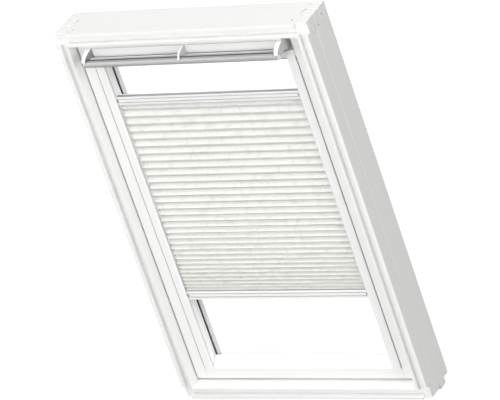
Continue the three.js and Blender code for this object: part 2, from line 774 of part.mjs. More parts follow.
// What the middle arm, standing on the flap, has to leave free
function flapEnvelope() {
  const centre = flapFront + flapCurveRadius;
  const reach = flapCurveRadius + seatGap;
  const face = flapFront - seatGap;
  const arc = ellipsePoints(centre, flapCurveBelow, reach, reach, 0, -flapEndAngle / 2, flapSegments);
  const back = rodBehindFront + armBossRadius + overrun;
  const under = armHeelBelow + overrun;
  return [
    [back, armTopDrop - weld], [face, armTopDrop - weld], ...arc,
    [flapLipFront - seatGap, flapLipBelow - seatGap], [flapLipFront - seatGap, under], [back, under],
  ];
}

// The bar's outer shape: a hollowed grip above a toe; grow widens it for the arms' clearance
function barOutline(grow) {
  const top = barTopDrop - grow;
  const bottom = barTopDrop + barHeight + grow;
  const topFront = barLean - barProud - grow;
  const gripReach = barLean / (1 - Math.cos(barGripAngle * degree));
  const gripHeight = barGripDrop / Math.sin(barGripAngle * degree);
  const grip = ellipsePoints(topFront - gripReach, top, gripReach, gripHeight,
    180, 180 + barGripAngle, armSegments / 2);
  return [
    ...grip, [barToe - barProud - grow, bottom], [barDepthBottom - barProud + grow, bottom],
    [barLean - barProud + barDepthTop + grow, top],
  ];
}

// The bar is a channel, open along its top
function barSection() {
  const top = barTopDrop;
  const floor = barTopDrop + barHeight - barWall;
  return [
    ...barOutline(0), [barLean - barProud + barDepthTop - barWall, top],
    [barDepthBottom - barProud - barWall, floor], [barToe - barProud + barWall, floor],
    [2 * barWall - barProud, top + barGripDrop], [barLean - barProud + barWall, top],
  ];
}

// An arm: a boss round the hinge rod, a curved back, a foot behind the bar and an arch below
function armSection() {
  const curveBottom = armTopDrop + armCurveHeight;
  const back = ellipsePoints(armCurveBack, curveBottom, armCurveReach, armCurveHeight,
    90, armTipAngle, armSegments);
  const [tipFront, tipBelow] = back[armSegments];
  const footFront = barDepthBottom - barProud;
  const footBack = footFront + armFootThickness;
  const footBelow = barTopDrop + barHeight - barWall;
  const arch = ellipsePoints(footBack + armArchReach, footBelow, armArchReach, armArchHeight,
    0, 90, armSegments / 2);
  const boss = ellipsePoints(rodBehindFront, rodBelowSashTop, armBossRadius, armBossRadius,
    armHeelAngle, 90, armSegments);
  return [
    ...back, [tipFront, tipBelow + armTipHeight], [footFront, tipBelow + armTipHeight],
    [footFront, footBelow], ...arch, [armHeelDepth - armHeelWidth, armHeelBelow],
    [armHeelDepth, armHeelBelow], ...boss,
  ];
}

// Narrows an outer arm towards its tip, seen from the front
function armFace(side) {
  const outer = halfWidth - armInset;
  const tip = sashTop - armTopDrop - armCurveHeight;
  const points = [
    [outer, tip - frameHeight], [outer, frameHeight], [outer - armWidth, frameHeight],
    [outer - armWidth, sashTop], [outer - armTipWidth, tip], [outer - armTipWidth, tip - frameHeight],
  ];
  return alongY(points.map(([x, z]) => [side * x, z]), -frameDepth, frameDepth);
}

function addFlap() {
  const armOuter = halfWidth - armInset;
  const armInner = armOuter - armWidth;
  const barEnd = armOuter - barEndInset;
  const flapSpan = armInner - seatGap;
  const grownBar = alongX(sashTopDepth(barOutline(seatGap)), -barEnd - seatGap, barEnd + seatGap);
  const rodBore = disc(rodRadius + seatGap, frameWidth, 'x').translate(0, rodBehindFront, rodHeight);
  const arm = (x0, x1) => cut(toSolid(alongX(sashTopDepth(armSection()), x0, x1)), grownBar, rodBore);

  add('vent_flap', 'white', alongX(sashTopDepth(flapSection()), -flapSpan, flapSpan));
  for (const [name, side] of sides) {
    const whole = arm(Math.min(side * armInner, side * armOuter), Math.max(side * armInner, side * armOuter));
    add(`bar_arm_${name}`, 'white', toGeometry(whole.intersect(toSolid(armFace(side)))));
  }
  add('bar_arm_middle', 'white', toGeometry(cut(arm(-middleArmWidth / 2, middleArmWidth / 2),
    alongX(sashTopDepth(flapEnvelope()), -middleArmWidth, middleArmWidth))));
  add('control_bar', 'aluminium', alongX(sashTopDepth(barSection()),
    barEndCapLength + seatGap - barEnd, barEnd - barEndCapLength - seatGap));
  for (const [name, side] of sides) {
    const inner = side * (barEnd - barEndCapLength);
    add(`bar_cap_${name}`, 'plug', alongX(sashTopDepth(barOutline(0)),
      Math.min(inner, side * barEnd), Math.max(inner, side * barEnd)));
  }
  add('hinge_rod', 'steel', disc(rodRadius, 2 * (halfWidth - sidePostInner + rodSocket - seatGap), 'x')
    .translate(0, rodBehindFront, rodHeight));
}

// Blind guide rails

function railSection(proud) {
  const outer = sidePostInner + seatGap;
  const crown = sashFront - railProud - proud;
  const edge = sashFront - railEdgeDrop - proud;
  const face = outer + railFaceWidth;
  const crownStart = outer + railFaceWidth * railCrownShare;
  const start = outer + railCreviceWidth;
  const rise = ellipsePoints(crownStart, edge, crownStart - start, edge - crown, 0, 90, armSegments / 2);
  const fall = ellipsePoints(face - railEdgeRound, crown + railEdgeRound, railEdgeRound, railEdgeRound,
    90, 180, armSegments / 2);
  return [[outer, sashFront + railCreviceDepth], [start, sashFront + railCreviceDepth], ...rise,
    ...fall.slice(0, -1), [face, crown + railEdgeRound + weld / 2],
    [railInner, crown + railEdgeRound + weld / 2]];
}

function railProfile() {
  const slotBack = railInner - railSlotReach;
  return [
    ...railSection(0), [railInner, railSlotDepth], [slotBack, railSlotDepth],
    [slotBack, railSlotDepth + railSlotWidth], [railInner, railSlotDepth + railSlotWidth],
    [railInner, railSeatDepth - seatGap], [sidePostInner + seatGap, railSeatDepth - seatGap],
  ];
}

function railChamber() {
  const outer = sidePostInner + seatGap + railCreviceWidth + railWall;
  const inner = railInner - railSlotReach - railWall;
  return rectangle(outer, inner, sashFront + railWall, railSeatDepth - seatGap - railWall);
}

function capProfile() {
  return [
    ...railSection(railCapProud), [railInner, railSeatDepth - seatGap],
    [sidePostInner + seatGap, railSeatDepth - seatGap],
  ];
}

// Cuts the rails' ends to the slopes of the sash's head and sill
function slopeTools() {
  const front = sashFront - seatGap;
  const back = railSeatDepth + overrun;
  const clearance = seatGap + seatGap / 2;
  const wedge = (slope) => [
    [front, -overrun], [back, -overrun], [back, slope(back) + clearance], [front, slope(sashFront) + clearance],
  ];
  const low = wedge(sillSlope);
  const high = wedge(headSlope).map(([y, inset]) => [y, frameHeight - inset]);
  return [low, high].map((points) => alongX(points, -frameWidth, frameWidth));
}

function addGuideRails() {
  const bottom = sillSlope(sashFront);
  const top = sashTop - flapRecessHeight;
  const capBottom = top - railCapHeight;
  for (const [name, side] of sides) {
    const rail = alongZ(onSide(railProfile(), side), bottom, capBottom - seatGap, [onSide(railChamber(), side)]);
    add(`guide_rail_${name}`, 'railWhite', toGeometry(cut(toSolid(rail), ...slopeTools())));
    const cap = alongZ(onSide(capProfile(), side), capBottom, top);
    add(`guide_cap_${name}`, 'railWhite', toGeometry(cut(toSolid(cap), ...slopeTools())));
  }
}

// Blind

// The edges of the two grooves above a rail's lower side, the upper groove first
const blindGrooves = [
  [blindUpperGrooveHeight + blindUpperGrooveWidth / 2, blindUpperGrooveHeight - blindUpperGrooveWidth / 2],
  [blindLowerGrooveHeight + blindLowerGrooveWidth / 2, blindLowerGrooveHeight - blindLowerGrooveWidth / 2],
];

// A rail's section, from its cloth side away; its channel opens away from the cloth
function blindRailSection(upwards) {
  const front = blindRailFront;
  const back = blindRailFront + blindRailDepth;
  const channel = blindRailHeight - blindChannelCut;
  const edges = blindGrooves.flat().map((edge) => (upwards > 0 ? edge : blindRailHeight - edge));
  const [e0, e1, e2, e3] = edges.sort((a, b) => b - a);
  const grooves = [[e0, e1], [e2, e3]].flatMap(([far, near]) => [
    [front, far], [front + blindGrooveCut, far], [front + blindGrooveCut, near], [front, near],
  ]);
  return [
    [front, blindRailRound], [front + blindRailRound, 0], [back, 0], [back, blindRailHeight],
    [back - blindRailWall, blindRailHeight], [back - blindRailWall, channel],
    [front + blindRailWall, channel], [front + blindRailWall, blindRailHeight],
    [front + blindRailWall / 2, blindRailHeight], [front, blindRailHeight - blindRailWall / 2],
    ...grooves,
  ];
}

function blindRailHollow() {
  const front = blindRailFront + endNotchCut + blindRailWall;
  return rectangle(front, blindRailFront + blindRailDepth - blindRailWall,
    blindRailWall, blindRailHeight - blindChannelCut - blindRailWall);
}

// Both rails have the same section, but the bottom one's channel opens down
function addBlindRail(name, clothSide, upwards) {
  const place = (points) => points.map(([y, height]) => [y, clothSide + upwards * height]);
  const end = halfWidth - blindSide;
  const rail = toSolid(alongX(place(blindRailSection(upwards)), -end, end, [place(blindRailHollow())]));
  const underside = Math.min(clothSide, clothSide + upwards * blindRailHeight);
  const z0 = underside + blindGrooves[1][0];
  const z1 = underside + blindGrooves[0][1];
  const notches = sides.map(([, side]) => block(
    Math.min(side * (end - endNotchLength), side * (end + overrun)),
    Math.max(side * (end - endNotchLength), side * (end + overrun)),
    blindRailFront - overrun, blindRailFront + endNotchCut, z0, z1));
  add(`blind_${name}_rail`, 'railWhite', toGeometry(cut(rail, ...notches)));
  for (const [sideName, side] of sides) {
    add(`${name}_slider_${sideName}`, 'slider', slider(side, end, z0 + seatGap, z1 - seatGap));
  }
}

// A slider: a block in the rail's end notch, with a tongue that runs in the guide rail's slot
function slider(side, end, z0, z1) {
  const y0 = railSlotDepth + (railSlotWidth - sliderTongueThickness) / 2;
  const span = (a, b) => [Math.min(side * a, side * b), Math.max(side * a, side * b)];
  const [b0, b1] = span(end - endNotchLength + seatGap, end);
  const [t0, t1] = span(end - weld, end + blindSideClearance + sliderTongueReach);
  const body = block(b0, b1, y0, blindRailFront + endNotchCut - seatGap, z0, z1);
  const tongue = block(t0, t1, y0, y0 + sliderTongueThickness, z0, z1);
  return toGeometry(join(body, tongue));
}

// Pleated cloth: a zigzag whose pleats tighten downwards, each facet keeping its cut width.
// A fold is (middle of the cloth's depth, height, half thickness measured front to back)
function clothFolds(low, high) {
  const shares = Array.from({ length: clothPleats }, (_, i) =>
    1 - clothTighteningShare * (i / (clothPleats - 1)) ** clothTighteningPower);
  const total = shares.reduce((sum, share) => sum + share);
  const facet = clothFacetShare * (high - low) / total / 2;
  const middleDepth = blindRailFront + blindRailDepth / 2;
  const folds = [];
  let z = high;
  for (const share of shares) {
    const pitch = (high - low) * share / total;
    const half = pitch / 2;
    const swing = Math.sqrt(facet * facet - half * half) / 2;
    const thickness = clothWeb / 2 * facet / half;
    folds.push([middleDepth + swing, z, thickness], [middleDepth - swing, z - half, thickness]);
    z -= pitch;
  }
  const [lastDepth, , lastThickness] = folds[folds.length - 2];
  folds.push([lastDepth, low, lastThickness]);
  return folds;
}

function addCloth() {
  const end = halfWidth - blindSide;
  const folds = clothFolds(bottomRailTop + seatGap, topRailUnderside - seatGap);
  const front = folds.map(([y, z, thickness]) => [y - thickness, z]);
  const back = folds.map(([y, z, thickness]) => [y + thickness, z]).reverse();
  add('pleated_cloth', 'cloth', alongX([...front, ...back], -end, end));
}

addFrame();
addFrameFixings();
addSeal();
addPivots();
addSash();
addLock();
addGlazing();
addCladding();
addFlap();
addGuideRails();
addBlindRail('top', topRailUnderside, 1);
addBlindRail('bottom', bottomRailTop, -1);
addCloth();

unit.position.y = -frameDepth / 2;
const roofWindow = new THREE.Group();
roofWindow.add(unit);

export default roofWindow;
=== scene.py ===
import json
import math

import bmesh
import bpy
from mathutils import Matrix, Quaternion, Vector, noise


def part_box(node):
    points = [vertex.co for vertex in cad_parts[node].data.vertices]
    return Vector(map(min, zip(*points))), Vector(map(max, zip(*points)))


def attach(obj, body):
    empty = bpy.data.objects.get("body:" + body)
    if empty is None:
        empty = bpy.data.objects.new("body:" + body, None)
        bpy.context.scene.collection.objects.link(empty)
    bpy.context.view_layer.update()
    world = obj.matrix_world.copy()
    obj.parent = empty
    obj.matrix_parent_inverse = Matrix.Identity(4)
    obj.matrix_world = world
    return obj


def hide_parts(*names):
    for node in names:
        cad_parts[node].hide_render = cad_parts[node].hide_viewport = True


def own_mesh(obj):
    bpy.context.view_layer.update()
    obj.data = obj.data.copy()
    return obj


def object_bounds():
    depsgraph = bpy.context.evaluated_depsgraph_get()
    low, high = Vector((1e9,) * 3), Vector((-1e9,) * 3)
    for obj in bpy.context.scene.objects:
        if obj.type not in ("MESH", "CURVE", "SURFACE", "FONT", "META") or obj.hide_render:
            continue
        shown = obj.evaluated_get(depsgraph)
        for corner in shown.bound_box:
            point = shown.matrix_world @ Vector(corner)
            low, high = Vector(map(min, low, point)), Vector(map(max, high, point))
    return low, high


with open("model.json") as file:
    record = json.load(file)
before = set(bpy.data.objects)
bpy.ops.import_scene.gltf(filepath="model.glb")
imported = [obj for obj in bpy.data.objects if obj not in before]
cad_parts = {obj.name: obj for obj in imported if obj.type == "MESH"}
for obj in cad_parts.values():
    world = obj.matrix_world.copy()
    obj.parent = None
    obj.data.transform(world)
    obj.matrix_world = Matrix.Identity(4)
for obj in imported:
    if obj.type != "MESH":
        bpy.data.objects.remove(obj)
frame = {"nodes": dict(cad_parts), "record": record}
cadBox = [list(corner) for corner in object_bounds()]
print("frame loaded:", len(frame["nodes"]), "nodes")

scene = bpy.context.scene


def addObject(name, data):
    made = bpy.data.objects.new(name, data)
    scene.collection.objects.link(made)
    return made


def lookFrom(thing, place, aim, roll=0.0):
    # the roll is in degrees about the line of sight
    look = (Vector(aim) - Vector(place)).to_track_quat("-Z", "Y")
    thing.location = place
    thing.rotation_mode = "QUATERNION"
    thing.rotation_quaternion = look @ Quaternion((0, 0, 1), math.radians(roll))


cameraSettings = {
    "place": (6.2872, -8.7263, 6.0918),
    "aim": (-0.2231, 0.3096, 0.4156),
    "roll": -19.35,
    "lens": 323.45,
    "sensor": 36.0,
    "clip": (0.5, 200),
}


def makeCamera(s):
    data = bpy.data.cameras.new("camera")
    data.lens = s["lens"]
    data.sensor_width = s["sensor"]
    data.clip_start, data.clip_end = s["clip"]
    camera = addObject("camera", data)
    lookFrom(camera, s["place"], s["aim"], s["roll"])
    scene.camera = camera


makeCamera(cameraSettings)
print("camera placed")


# node helpers, for the stage and for all the finishes

def addNode(tree, kind, inputs=None, **settings):
    # an input takes a number, a colour, or another node's output
    made = tree.nodes.new("ShaderNode" + kind)
    for name, value in settings.items():
        setattr(made, name, value)
    for name, value in (inputs or {}).items():
        if isinstance(value, bpy.types.NodeSocket):
            tree.links.new(value, made.inputs[name])
        else:
            made.inputs[name].default_value = value
    return made


def maths(tree, operation, *values, clamp=False):
    made = addNode(tree, "Math", dict(enumerate(values)), operation=operation, use_clamp=clamp)
    return made.outputs[0]


def vectorMaths(tree, operation, *values):
    made = addNode(tree, "VectorMath", dict(enumerate(values)), operation=operation)
    return made.outputs["Value" if operation in ("LENGTH", "DISTANCE") else 0]


def mixColours(tree, factor, a, b):
    # sockets 0, 6 and 7 of a colour mix are its factor and its two colours
    made = addNode(tree, "Mix", {0: factor, 6: a, 7: b}, data_type="RGBA")
    return made.outputs[2]


def noiseAt(tree, vector, scale, detail=2.0, rough=0.5, warp=0.0):
    return addNode(tree, "TexNoise", {
        "Vector": vector, "Scale": scale, "Detail": detail, "Roughness": rough,
        "Distortion": warp,
    }).outputs[0]


def spreadRange(tree, value, low, high, newLow=0.0, newHigh=1.0):
    return addNode(tree, "MapRange", {
        "Value": value, "From Min": low, "From Max": high,
        "To Min": newLow, "To Max": newHigh,
    }).outputs[0]


def swing(tree, value, amount):
    # how far a value from 0 to 1 stands from its middle, times the amount
    middle = 0.5
    return maths(tree, "MULTIPLY", maths(tree, "SUBTRACT", value, middle), amount)


def scaleColour(tree, colour, level):
    levels = addNode(tree, "CombineXYZ", {0: level, 1: level, 2: level}).outputs[0]
    return vectorMaths(tree, "MULTIPLY", colour, levels)


def splitVector(tree, vector):
    return addNode(tree, "SeparateXYZ", {0: vector}).outputs


def placeOn(tree):
    return addNode(tree, "TexCoord").outputs["Object"]


def holeMask(tree, run, aside, pitch, radius, rim):
    # 1 inside a row of round holes, one in the middle of each step of the run
    step = swing(tree, maths(tree, "FRACT", maths(tree, "DIVIDE", run, pitch)), pitch)
    squares = maths(tree, "ADD", maths(tree, "MULTIPLY", aside, aside),
                    maths(tree, "MULTIPLY", step, step))
    return spreadRange(tree, maths(tree, "SQRT", squares), radius, radius * rim, 1.0, 0.0)


def startMaterial(name):
    material = bpy.data.materials.new(name)
    material.use_nodes = True
    return material, material.node_tree, material.node_tree.nodes["Principled BSDF"]


def linkSurface(tree, shader, colour, roughness, height):
    millimetre = 0.001       # one unit of height
    bump = addNode(tree, "Bump", {"Strength": 1.0, "Distance": millimetre, "Height": height})
    tree.links.new(colour, shader.inputs["Base Color"])
    tree.links.new(roughness, shader.inputs["Roughness"])
    tree.links.new(bump.outputs[0], shader.inputs["Normal"])


def startGroup(name, inputs, outputs):
    group = bpy.data.node_groups.new(name, "ShaderNodeTree")
    for socketName, kind, value in inputs:
        socket = group.interface.new_socket(
            name=socketName, in_out="INPUT", socket_type="NodeSocket" + kind)
        if value is not None:
            socket.default_value = value
    for socketName, kind in outputs:
        group.interface.new_socket(
            name=socketName, in_out="OUTPUT", socket_type="NodeSocket" + kind)
    given = group.nodes.new("NodeGroupInput").outputs
    return group, given, group.nodes.new("NodeGroupOutput").inputs


# stage, world and lamps

stageSettings = {
    "floorSize": 60.0,
    "floorColour": (0.35, 0.35, 0.35, 1),
    "floorGlow": (0.82, 1.0),   # what the camera sees added to the floor, near by and far away
    "floorFade": (2.5, 8.0),    # metres from the middle between those two
    "worldLight": 0.12,
    "worldColour": (1.0, 1.0, 1.0, 1),
    "seenLight": 1.0,           # what the camera sees of the world is plain white
    "seenColour": (1.0, 1.0, 1.0, 1),
    "lampAim": (0, 0, 0.6),
}

lampSettings = {
    # name: (place, watts, width)
    "softboxFront": ((1.0, -9.0, 4.0), 458, 5.0),
    "softboxRight": ((7.6, -2.8, 3.2), 300, 4.0),
    "softboxLeft": ((-5.5, -6.0, 3.6), 150, 5.0),
    "softboxTop": ((0.0, -2.0, 7.5), 245, 5.0),
    "softboxBehind": ((-1.2, 6.8, 3.6), 260, 3.0),
}


def cameraMask(tree):
    # 1 where the camera, a reflection or a look through glass meets the surface
    path = addNode(tree, "LightPath").outputs
    first = maths(tree, "MAXIMUM", path["Is Camera Ray"], path["Is Glossy Ray"])
    return maths(tree, "MAXIMUM", first, path["Is Transmission Ray"])


def makeWorld(s):
    world = bpy.data.worlds.new("studio")
    scene.world = world
    world.use_nodes = True
    tree = world.node_tree
    tree.nodes.clear()
    fill = addNode(tree, "Background", {"Color": s["worldColour"], "Strength": s["worldLight"]})
    seen = addNode(tree, "Background", {"Color": s["seenColour"], "Strength": s["seenLight"]})
    mix = addNode(tree, "MixShader", {
        0: cameraMask(tree), 1: fill.outputs[0], 2: seen.outputs[0]})
    addNode(tree, "OutputWorld", {"Surface": mix.outputs[0]})


def makeFloor(s):
    half = s["floorSize"] / 2
    z = cadBox[0][2]
    mesh = bpy.data.meshes.new("floor")
    mesh.from_pydata([(-half, -half, z), (half, -half, z), (half, half, z), (-half, half, z)],
                     [], [(0, 1, 2, 3)])
    floor = addObject("floor", mesh)
    material, tree, _ = startMaterial("floorPaper")
    tree.nodes.clear()
    diffuse = addNode(tree, "BsdfDiffuse", {"Color": s["floorColour"]})
    away = vectorMaths(tree, "LENGTH", placeOn(tree))
    added = spreadRange(tree, away, *s["floorFade"], *s["floorGlow"])
    glow = addNode(tree, "Emission", {
        "Strength": maths(tree, "MULTIPLY", cameraMask(tree), added)})
    both = addNode(tree, "AddShader", {0: diffuse.outputs[0], 1: glow.outputs[0]})
    addNode(tree, "OutputMaterial", {"Surface": both.outputs[0]})
    mesh.materials.append(material)


def makeLamp(name, place, aim, watts, width):
    data = bpy.data.lights.new(name, "AREA")
    data.energy = watts
    data.shape = "DISK"
    data.size = width
    lookFrom(addObject(name, data), place, aim)


makeWorld(stageSettings)
makeFloor(stageSettings)
for lampName, (lampPlace, lampWatts, lampWidth) in lampSettings.items():
    makeLamp(lampName, lampPlace, stageSettings["lampAim"], lampWatts, lampWidth)
scene.view_settings.view_transform = "Standard"
print("stage and lamps ready")


# effects that several finishes use

grainSettings = {
    "streakDetail": 5.0,
    "streakRough": 0.62,
    "poreScale": 4.3,        # how much finer the pores are than the streaks
    "poreShare": 0.4,        # of the streaks' height
    "grainDetail": 3.0,
    "slowScale": 4.0,        # slow changes of tone per metre
}


def makeSurfaceGrain(s):
    # streaks along a member, an even grain, and a slow change of tone; heights in millimetres
    group, given, out = startGroup("surfaceGrain", [
        ("Vector", "Vector", None), ("Stretch", "Vector", (200, 200, 8)),
        ("Colour", "Color", (0.8, 0.8, 0.8, 1)),
        ("Streak Tone", "Float", 0.02), ("Streak Height", "Float", 0.02),
        ("Grain Scale", "Float", 400.0), ("Grain Tone", "Float", 0.01),
        ("Grain Height", "Float", 0.01), ("Slow Tone", "Float", 0.02),
        ("Gloss", "Float", 0.4), ("Gloss Spread", "Float", 0.1),
    ], [("Colour", "Color"), ("Roughness", "Float"), ("Height", "Float")])
    along = vectorMaths(group, "MULTIPLY", given["Vector"], given["Stretch"])
    streaks = noiseAt(group, along, 1.0, detail=s["streakDetail"], rough=s["streakRough"])
    pores = noiseAt(group, along, s["poreScale"])
    grain = noiseAt(group, given["Vector"], given["Grain Scale"], detail=s["grainDetail"])
    slow = noiseAt(group, given["Vector"], s["slowScale"])

    level = swing(group, streaks, given["Streak Tone"])
    level = maths(group, "ADD", level, swing(group, grain, given["Grain Tone"]))
    level = maths(group, "ADD", level, swing(group, slow, given["Slow Tone"]))
    colour = scaleColour(group, given["Colour"], maths(group, "ADD", level, 1.0))
    group.links.new(colour, out["Colour"])

    average = maths(group, "MULTIPLY", maths(group, "ADD", streaks, grain), 0.5)
    gloss = swing(group, average, given["Gloss Spread"])
    group.links.new(maths(group, "ADD", given["Gloss"], gloss, clamp=True), out["Roughness"])

    height = maths(group, "ADD", streaks, maths(group, "MULTIPLY", pores, s["poreShare"]))
    height = maths(group, "MULTIPLY", height, given["Streak Height"])
    fine = maths(group, "MULTIPLY", grain, given["Grain Height"])
    group.links.new(maths(group, "ADD", height, fine), out["Height"])
    return group


dustSettings = {
    "patchScale": 26.0,
    "patchDetail": 5.0,
    "patchRough": 0.6,
    "patchRange": (0.35, 0.75),
    "facingUp": (0.2, 1.0),
}


def makeSettledDust(s):
    # a thin, patchy film on whatever faces up
    group, given, out = startGroup("settledDust", [
        ("Vector", "Vector", None), ("Colour", "Color", (0.8, 0.8, 0.8, 1)),
        ("Dust Colour", "Color", (0.62, 0.6, 0.56, 1)), ("Amount", "Float", 0.05),
    ], [("Colour", "Color"), ("Film", "Float")])
    up = splitVector(group, addNode(group, "NewGeometry").outputs["Normal"])[2]
    patches = noiseAt(group, given["Vector"], s["patchScale"],
                      detail=s["patchDetail"], rough=s["patchRough"])
    patches = spreadRange(group, patches, *s["patchRange"])
    film = maths(group, "MULTIPLY", spreadRange(group, up, *s["facingUp"]),
                 maths(group, "MULTIPLY", patches, given["Amount"]))
    dusted = mixColours(group, film, given["Colour"], given["Dust Colour"])
    group.links.new(dusted, out["Colour"])
    group.links.new(film, out["Film"])
    return group


def makeCrystals():
    # zinc spangle, or the cloudy patches of an anodised skin
    group, given, out = startGroup("crystals", [
        ("Vector", "Vector", None), ("Colour", "Color", (0.6, 0.6, 0.6, 1)),
        ("Scale", "Float", 160.0), ("Amount", "Float", 0.12),
    ], [("Colour", "Color")])
    cells = addNode(group, "TexVoronoi", {"Vector": given["Vector"], "Scale": given["Scale"]})
    tone = addNode(group, "SeparateColor", {0: cells.outputs["Color"]}).outputs[0]
    level = maths(group, "ADD", 1.0, swing(group, tone, given["Amount"]))
    group.links.new(scaleColour(group, given["Colour"], level), out["Colour"])
    return group


paintedShadeSettings = {
    "rays": 6,               # how many looks each point takes at what stands near it
}


def makeCornerPaintedShade(s):
    # painted shade: grey laid into grooves, seams and inner corners, darker where less open space
    # is around a point
    group, given, out = startGroup("cornerPaintedShade", [
        ("Colour", "Color", (0.8, 0.8, 0.8, 1)), ("Shade Colour", "Color", (0.4, 0.4, 0.39, 1)),
        ("Reach", "Float", 0.006), ("Amount", "Float", 0.5),
        ("Clear Above", "Float", 0.85), ("Full Below", "Float", 0.22),
    ], [("Colour", "Color")])
    openness = addNode(group, "AmbientOcclusion", {"Distance": given["Reach"]},
                       samples=s["rays"]).outputs["AO"]
    mask = spreadRange(group, openness, given["Clear Above"], given["Full Below"])
    mask = maths(group, "MULTIPLY", mask, given["Amount"])
    shaded = mixColours(group, mask, given["Colour"], given["Shade Colour"])
    group.links.new(shaded, out["Colour"])
    return group


surfaceGrain = makeSurfaceGrain(grainSettings)
cornerPaintedShade = makeCornerPaintedShade(paintedShadeSettings)
settledDust = makeSettledDust(dustSettings)
crystals = makeCrystals()
print("shared effects built")

# what only one finish has: a function that changes its height and colour

spacerHoles = {
    "pitch": 0.0042,
    "radius": 0.0006,
    "rim": 1.5,              # a hole's edge ends at this many radii
    "depth": 0.6,            # millimetres
    "colour": (0.04, 0.04, 0.04, 1),
    "runAtSide": 0.27,       # beyond this far from the middle the bar stands
}


def punchSpacer(tree, place, height, colour):
    # one row of drying holes down the middle of the bar
    s = spacerHoles
    x, y, z = splitVector(tree, place)
    low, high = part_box("spacer_bar")
    standing = maths(tree, "GREATER_THAN", maths(tree, "ABSOLUTE", x), s["runAtSide"])
    lying = maths(tree, "SUBTRACT", 1.0, standing)
    run = maths(tree, "ADD", maths(tree, "MULTIPLY", standing, z),
                maths(tree, "MULTIPLY", lying, x))
    aside = maths(tree, "SUBTRACT", y, (low.y + high.y) / 2)
    hole = holeMask(tree, run, aside, s["pitch"], s["radius"], s["rim"])
    height = maths(tree, "SUBTRACT", height, maths(tree, "MULTIPLY", hole, s["depth"]))
    return height, mixColours(tree, hole, colour, s["colour"])


sideShadeSettings = {
    "facing": (0.8, 0.95),          # how squarely a face has to look right
    "left": (0.3, 0.3, 0.3, 1),     # painted shade on the left arm's right side, darkest
    "others": (0.52, 0.52, 0.51, 1),
    "leftBefore": -0.2,             # the left arm is to the left of this
}


def paintedSideShade(tree, place, height, colour):
    # painted shade: the arms' sides that look towards the hinge's right end are painted grey,
    # darkest on the left arm
    s = sideShadeSettings
    facing = splitVector(tree, addNode(tree, "NewGeometry").outputs["True Normal"])[0]
    leftArm = maths(tree, "LESS_THAN", splitVector(tree, place)[0], s["leftBefore"])
    grey = mixColours(tree, leftArm, s["others"], s["left"])
    mask = spreadRange(tree, facing, *s["facing"])
    return height, mixColours(tree, mask, colour, grey)


# one row per material slot; "across" and "along" are streaks per metre over and along the member,
# tones are shares of the colour and heights are millimetres
finishSettings = {
    "white_lacquer": {
        "name": "whiteLacquer", "colour": (0.85, 0.85, 0.838), "across": 230, "along": 7,
        "streakTone": 0.014, "streakHeight": 0.014, "grainScale": 420, "grainTone": 0.006,
        "grainHeight": 0.006, "slowTone": 0.03, "gloss": 0.38, "glossSpread": 0.16,
        # painted shade in grooves and corners: its amount, its reach, and how open a spot stays
        # clear of it
        "dust": 0.03, "shine": 0.3, "paintedShade": 0.8, "paintedShadeReach": 0.008, "paintedShadeOpen": 0.62},
    "white_enamel": {
        "name": "whiteEnamel", "colour": (0.85, 0.85, 0.842), "across": 900, "along": 3,
        "streakTone": 0.008, "streakHeight": 0.006, "grainScale": 1300, "grainTone": 0.012,
        "grainHeight": 0.012, "slowTone": 0.016, "gloss": 0.33, "glossSpread": 0.14,
        "dust": 0.025, "coat": 0.08, "shine": 0.35,
        # painted shade in grooves and corners, as in the lacquer
        "paintedShade": 0.8, "paintedShadeReach": 0.005, "paintedShadeOpen": 0.85},
    "satin_aluminium": {
        "name": "satinAluminium", "colour": (0.3, 0.303, 0.3), "across": 1700, "along": 6,
        "streakTone": 0.1, "streakHeight": 0.008, "grainScale": 2200, "grainTone": 0.03,
        "grainHeight": 0.004, "slowTone": 0.04, "gloss": 0.36, "glossSpread": 0.22,
        "dust": 0.03, "metallic": 0.8, "crystalScale": 60, "crystalAmount": 0.03},
    "grey_cladding": {
        "name": "greyCladding", "colour": (0.135, 0.14, 0.145), "across": 300, "along": 5,
        "streakTone": 0.05, "streakHeight": 0.004, "grainScale": 1500, "grainTone": 0.12,
        "grainHeight": 0.03, "slowTone": 0.12, "gloss": 0.46, "glossSpread": 0.2, "dust": 0.16},
    "spacer_metal": {
        "name": "spacerMetal", "colour": (0.56, 0.565, 0.565), "across": 1500, "along": 5,
        "streakTone": 0.08, "streakHeight": 0.004, "grainScale": 1800, "grainTone": 0.05,
        "grainHeight": 0.004, "slowTone": 0.04, "gloss": 0.42, "glossSpread": 0.16,
        "metallic": 0.6, "crystalScale": 90, "crystalAmount": 0.06, "extra": punchSpacer},
    "black_rubber": {
        "name": "blackRubber", "colour": (0.022, 0.022, 0.023), "across": 1200, "along": 30,
        "streakTone": 0.3, "streakHeight": 0.01, "grainScale": 2400, "grainTone": 0.35,
        "grainHeight": 0.02, "slowTone": 0.3, "gloss": 0.72, "glossSpread": 0.2, "dust": 0.1},
    "zinc_steel": {
        "name": "zincSteel", "colour": (0.5, 0.505, 0.52), "across": 800, "along": 30,
        "streakTone": 0.08, "streakHeight": 0.006, "grainScale": 2600, "grainTone": 0.06,
        "grainHeight": 0.006, "slowTone": 0.08, "gloss": 0.34, "glossSpread": 0.2, "dust": 0.03,
        "metallic": 0.9, "crystalScale": 240, "crystalAmount": 0.22},
    "pale_plastic": {
        "name": "palePlastic", "colour": (0.86, 0.86, 0.845), "across": 500, "along": 60,
        "streakTone": 0.012, "streakHeight": 0.004, "grainScale": 1900, "grainTone": 0.02,
        "grainHeight": 0.018, "slowTone": 0.02, "gloss": 0.48, "glossSpread": 0.12, "dust": 0.03},
    "grey_plastic": {
        "name": "greyPlastic", "colour": (0.33, 0.33, 0.33), "across": 500, "along": 60,
        "streakTone": 0.03, "streakHeight": 0.004, "grainScale": 1900, "grainTone": 0.06,
        "grainHeight": 0.018, "slowTone": 0.05, "gloss": 0.5, "glossSpread": 0.12, "dust": 0.02},
}

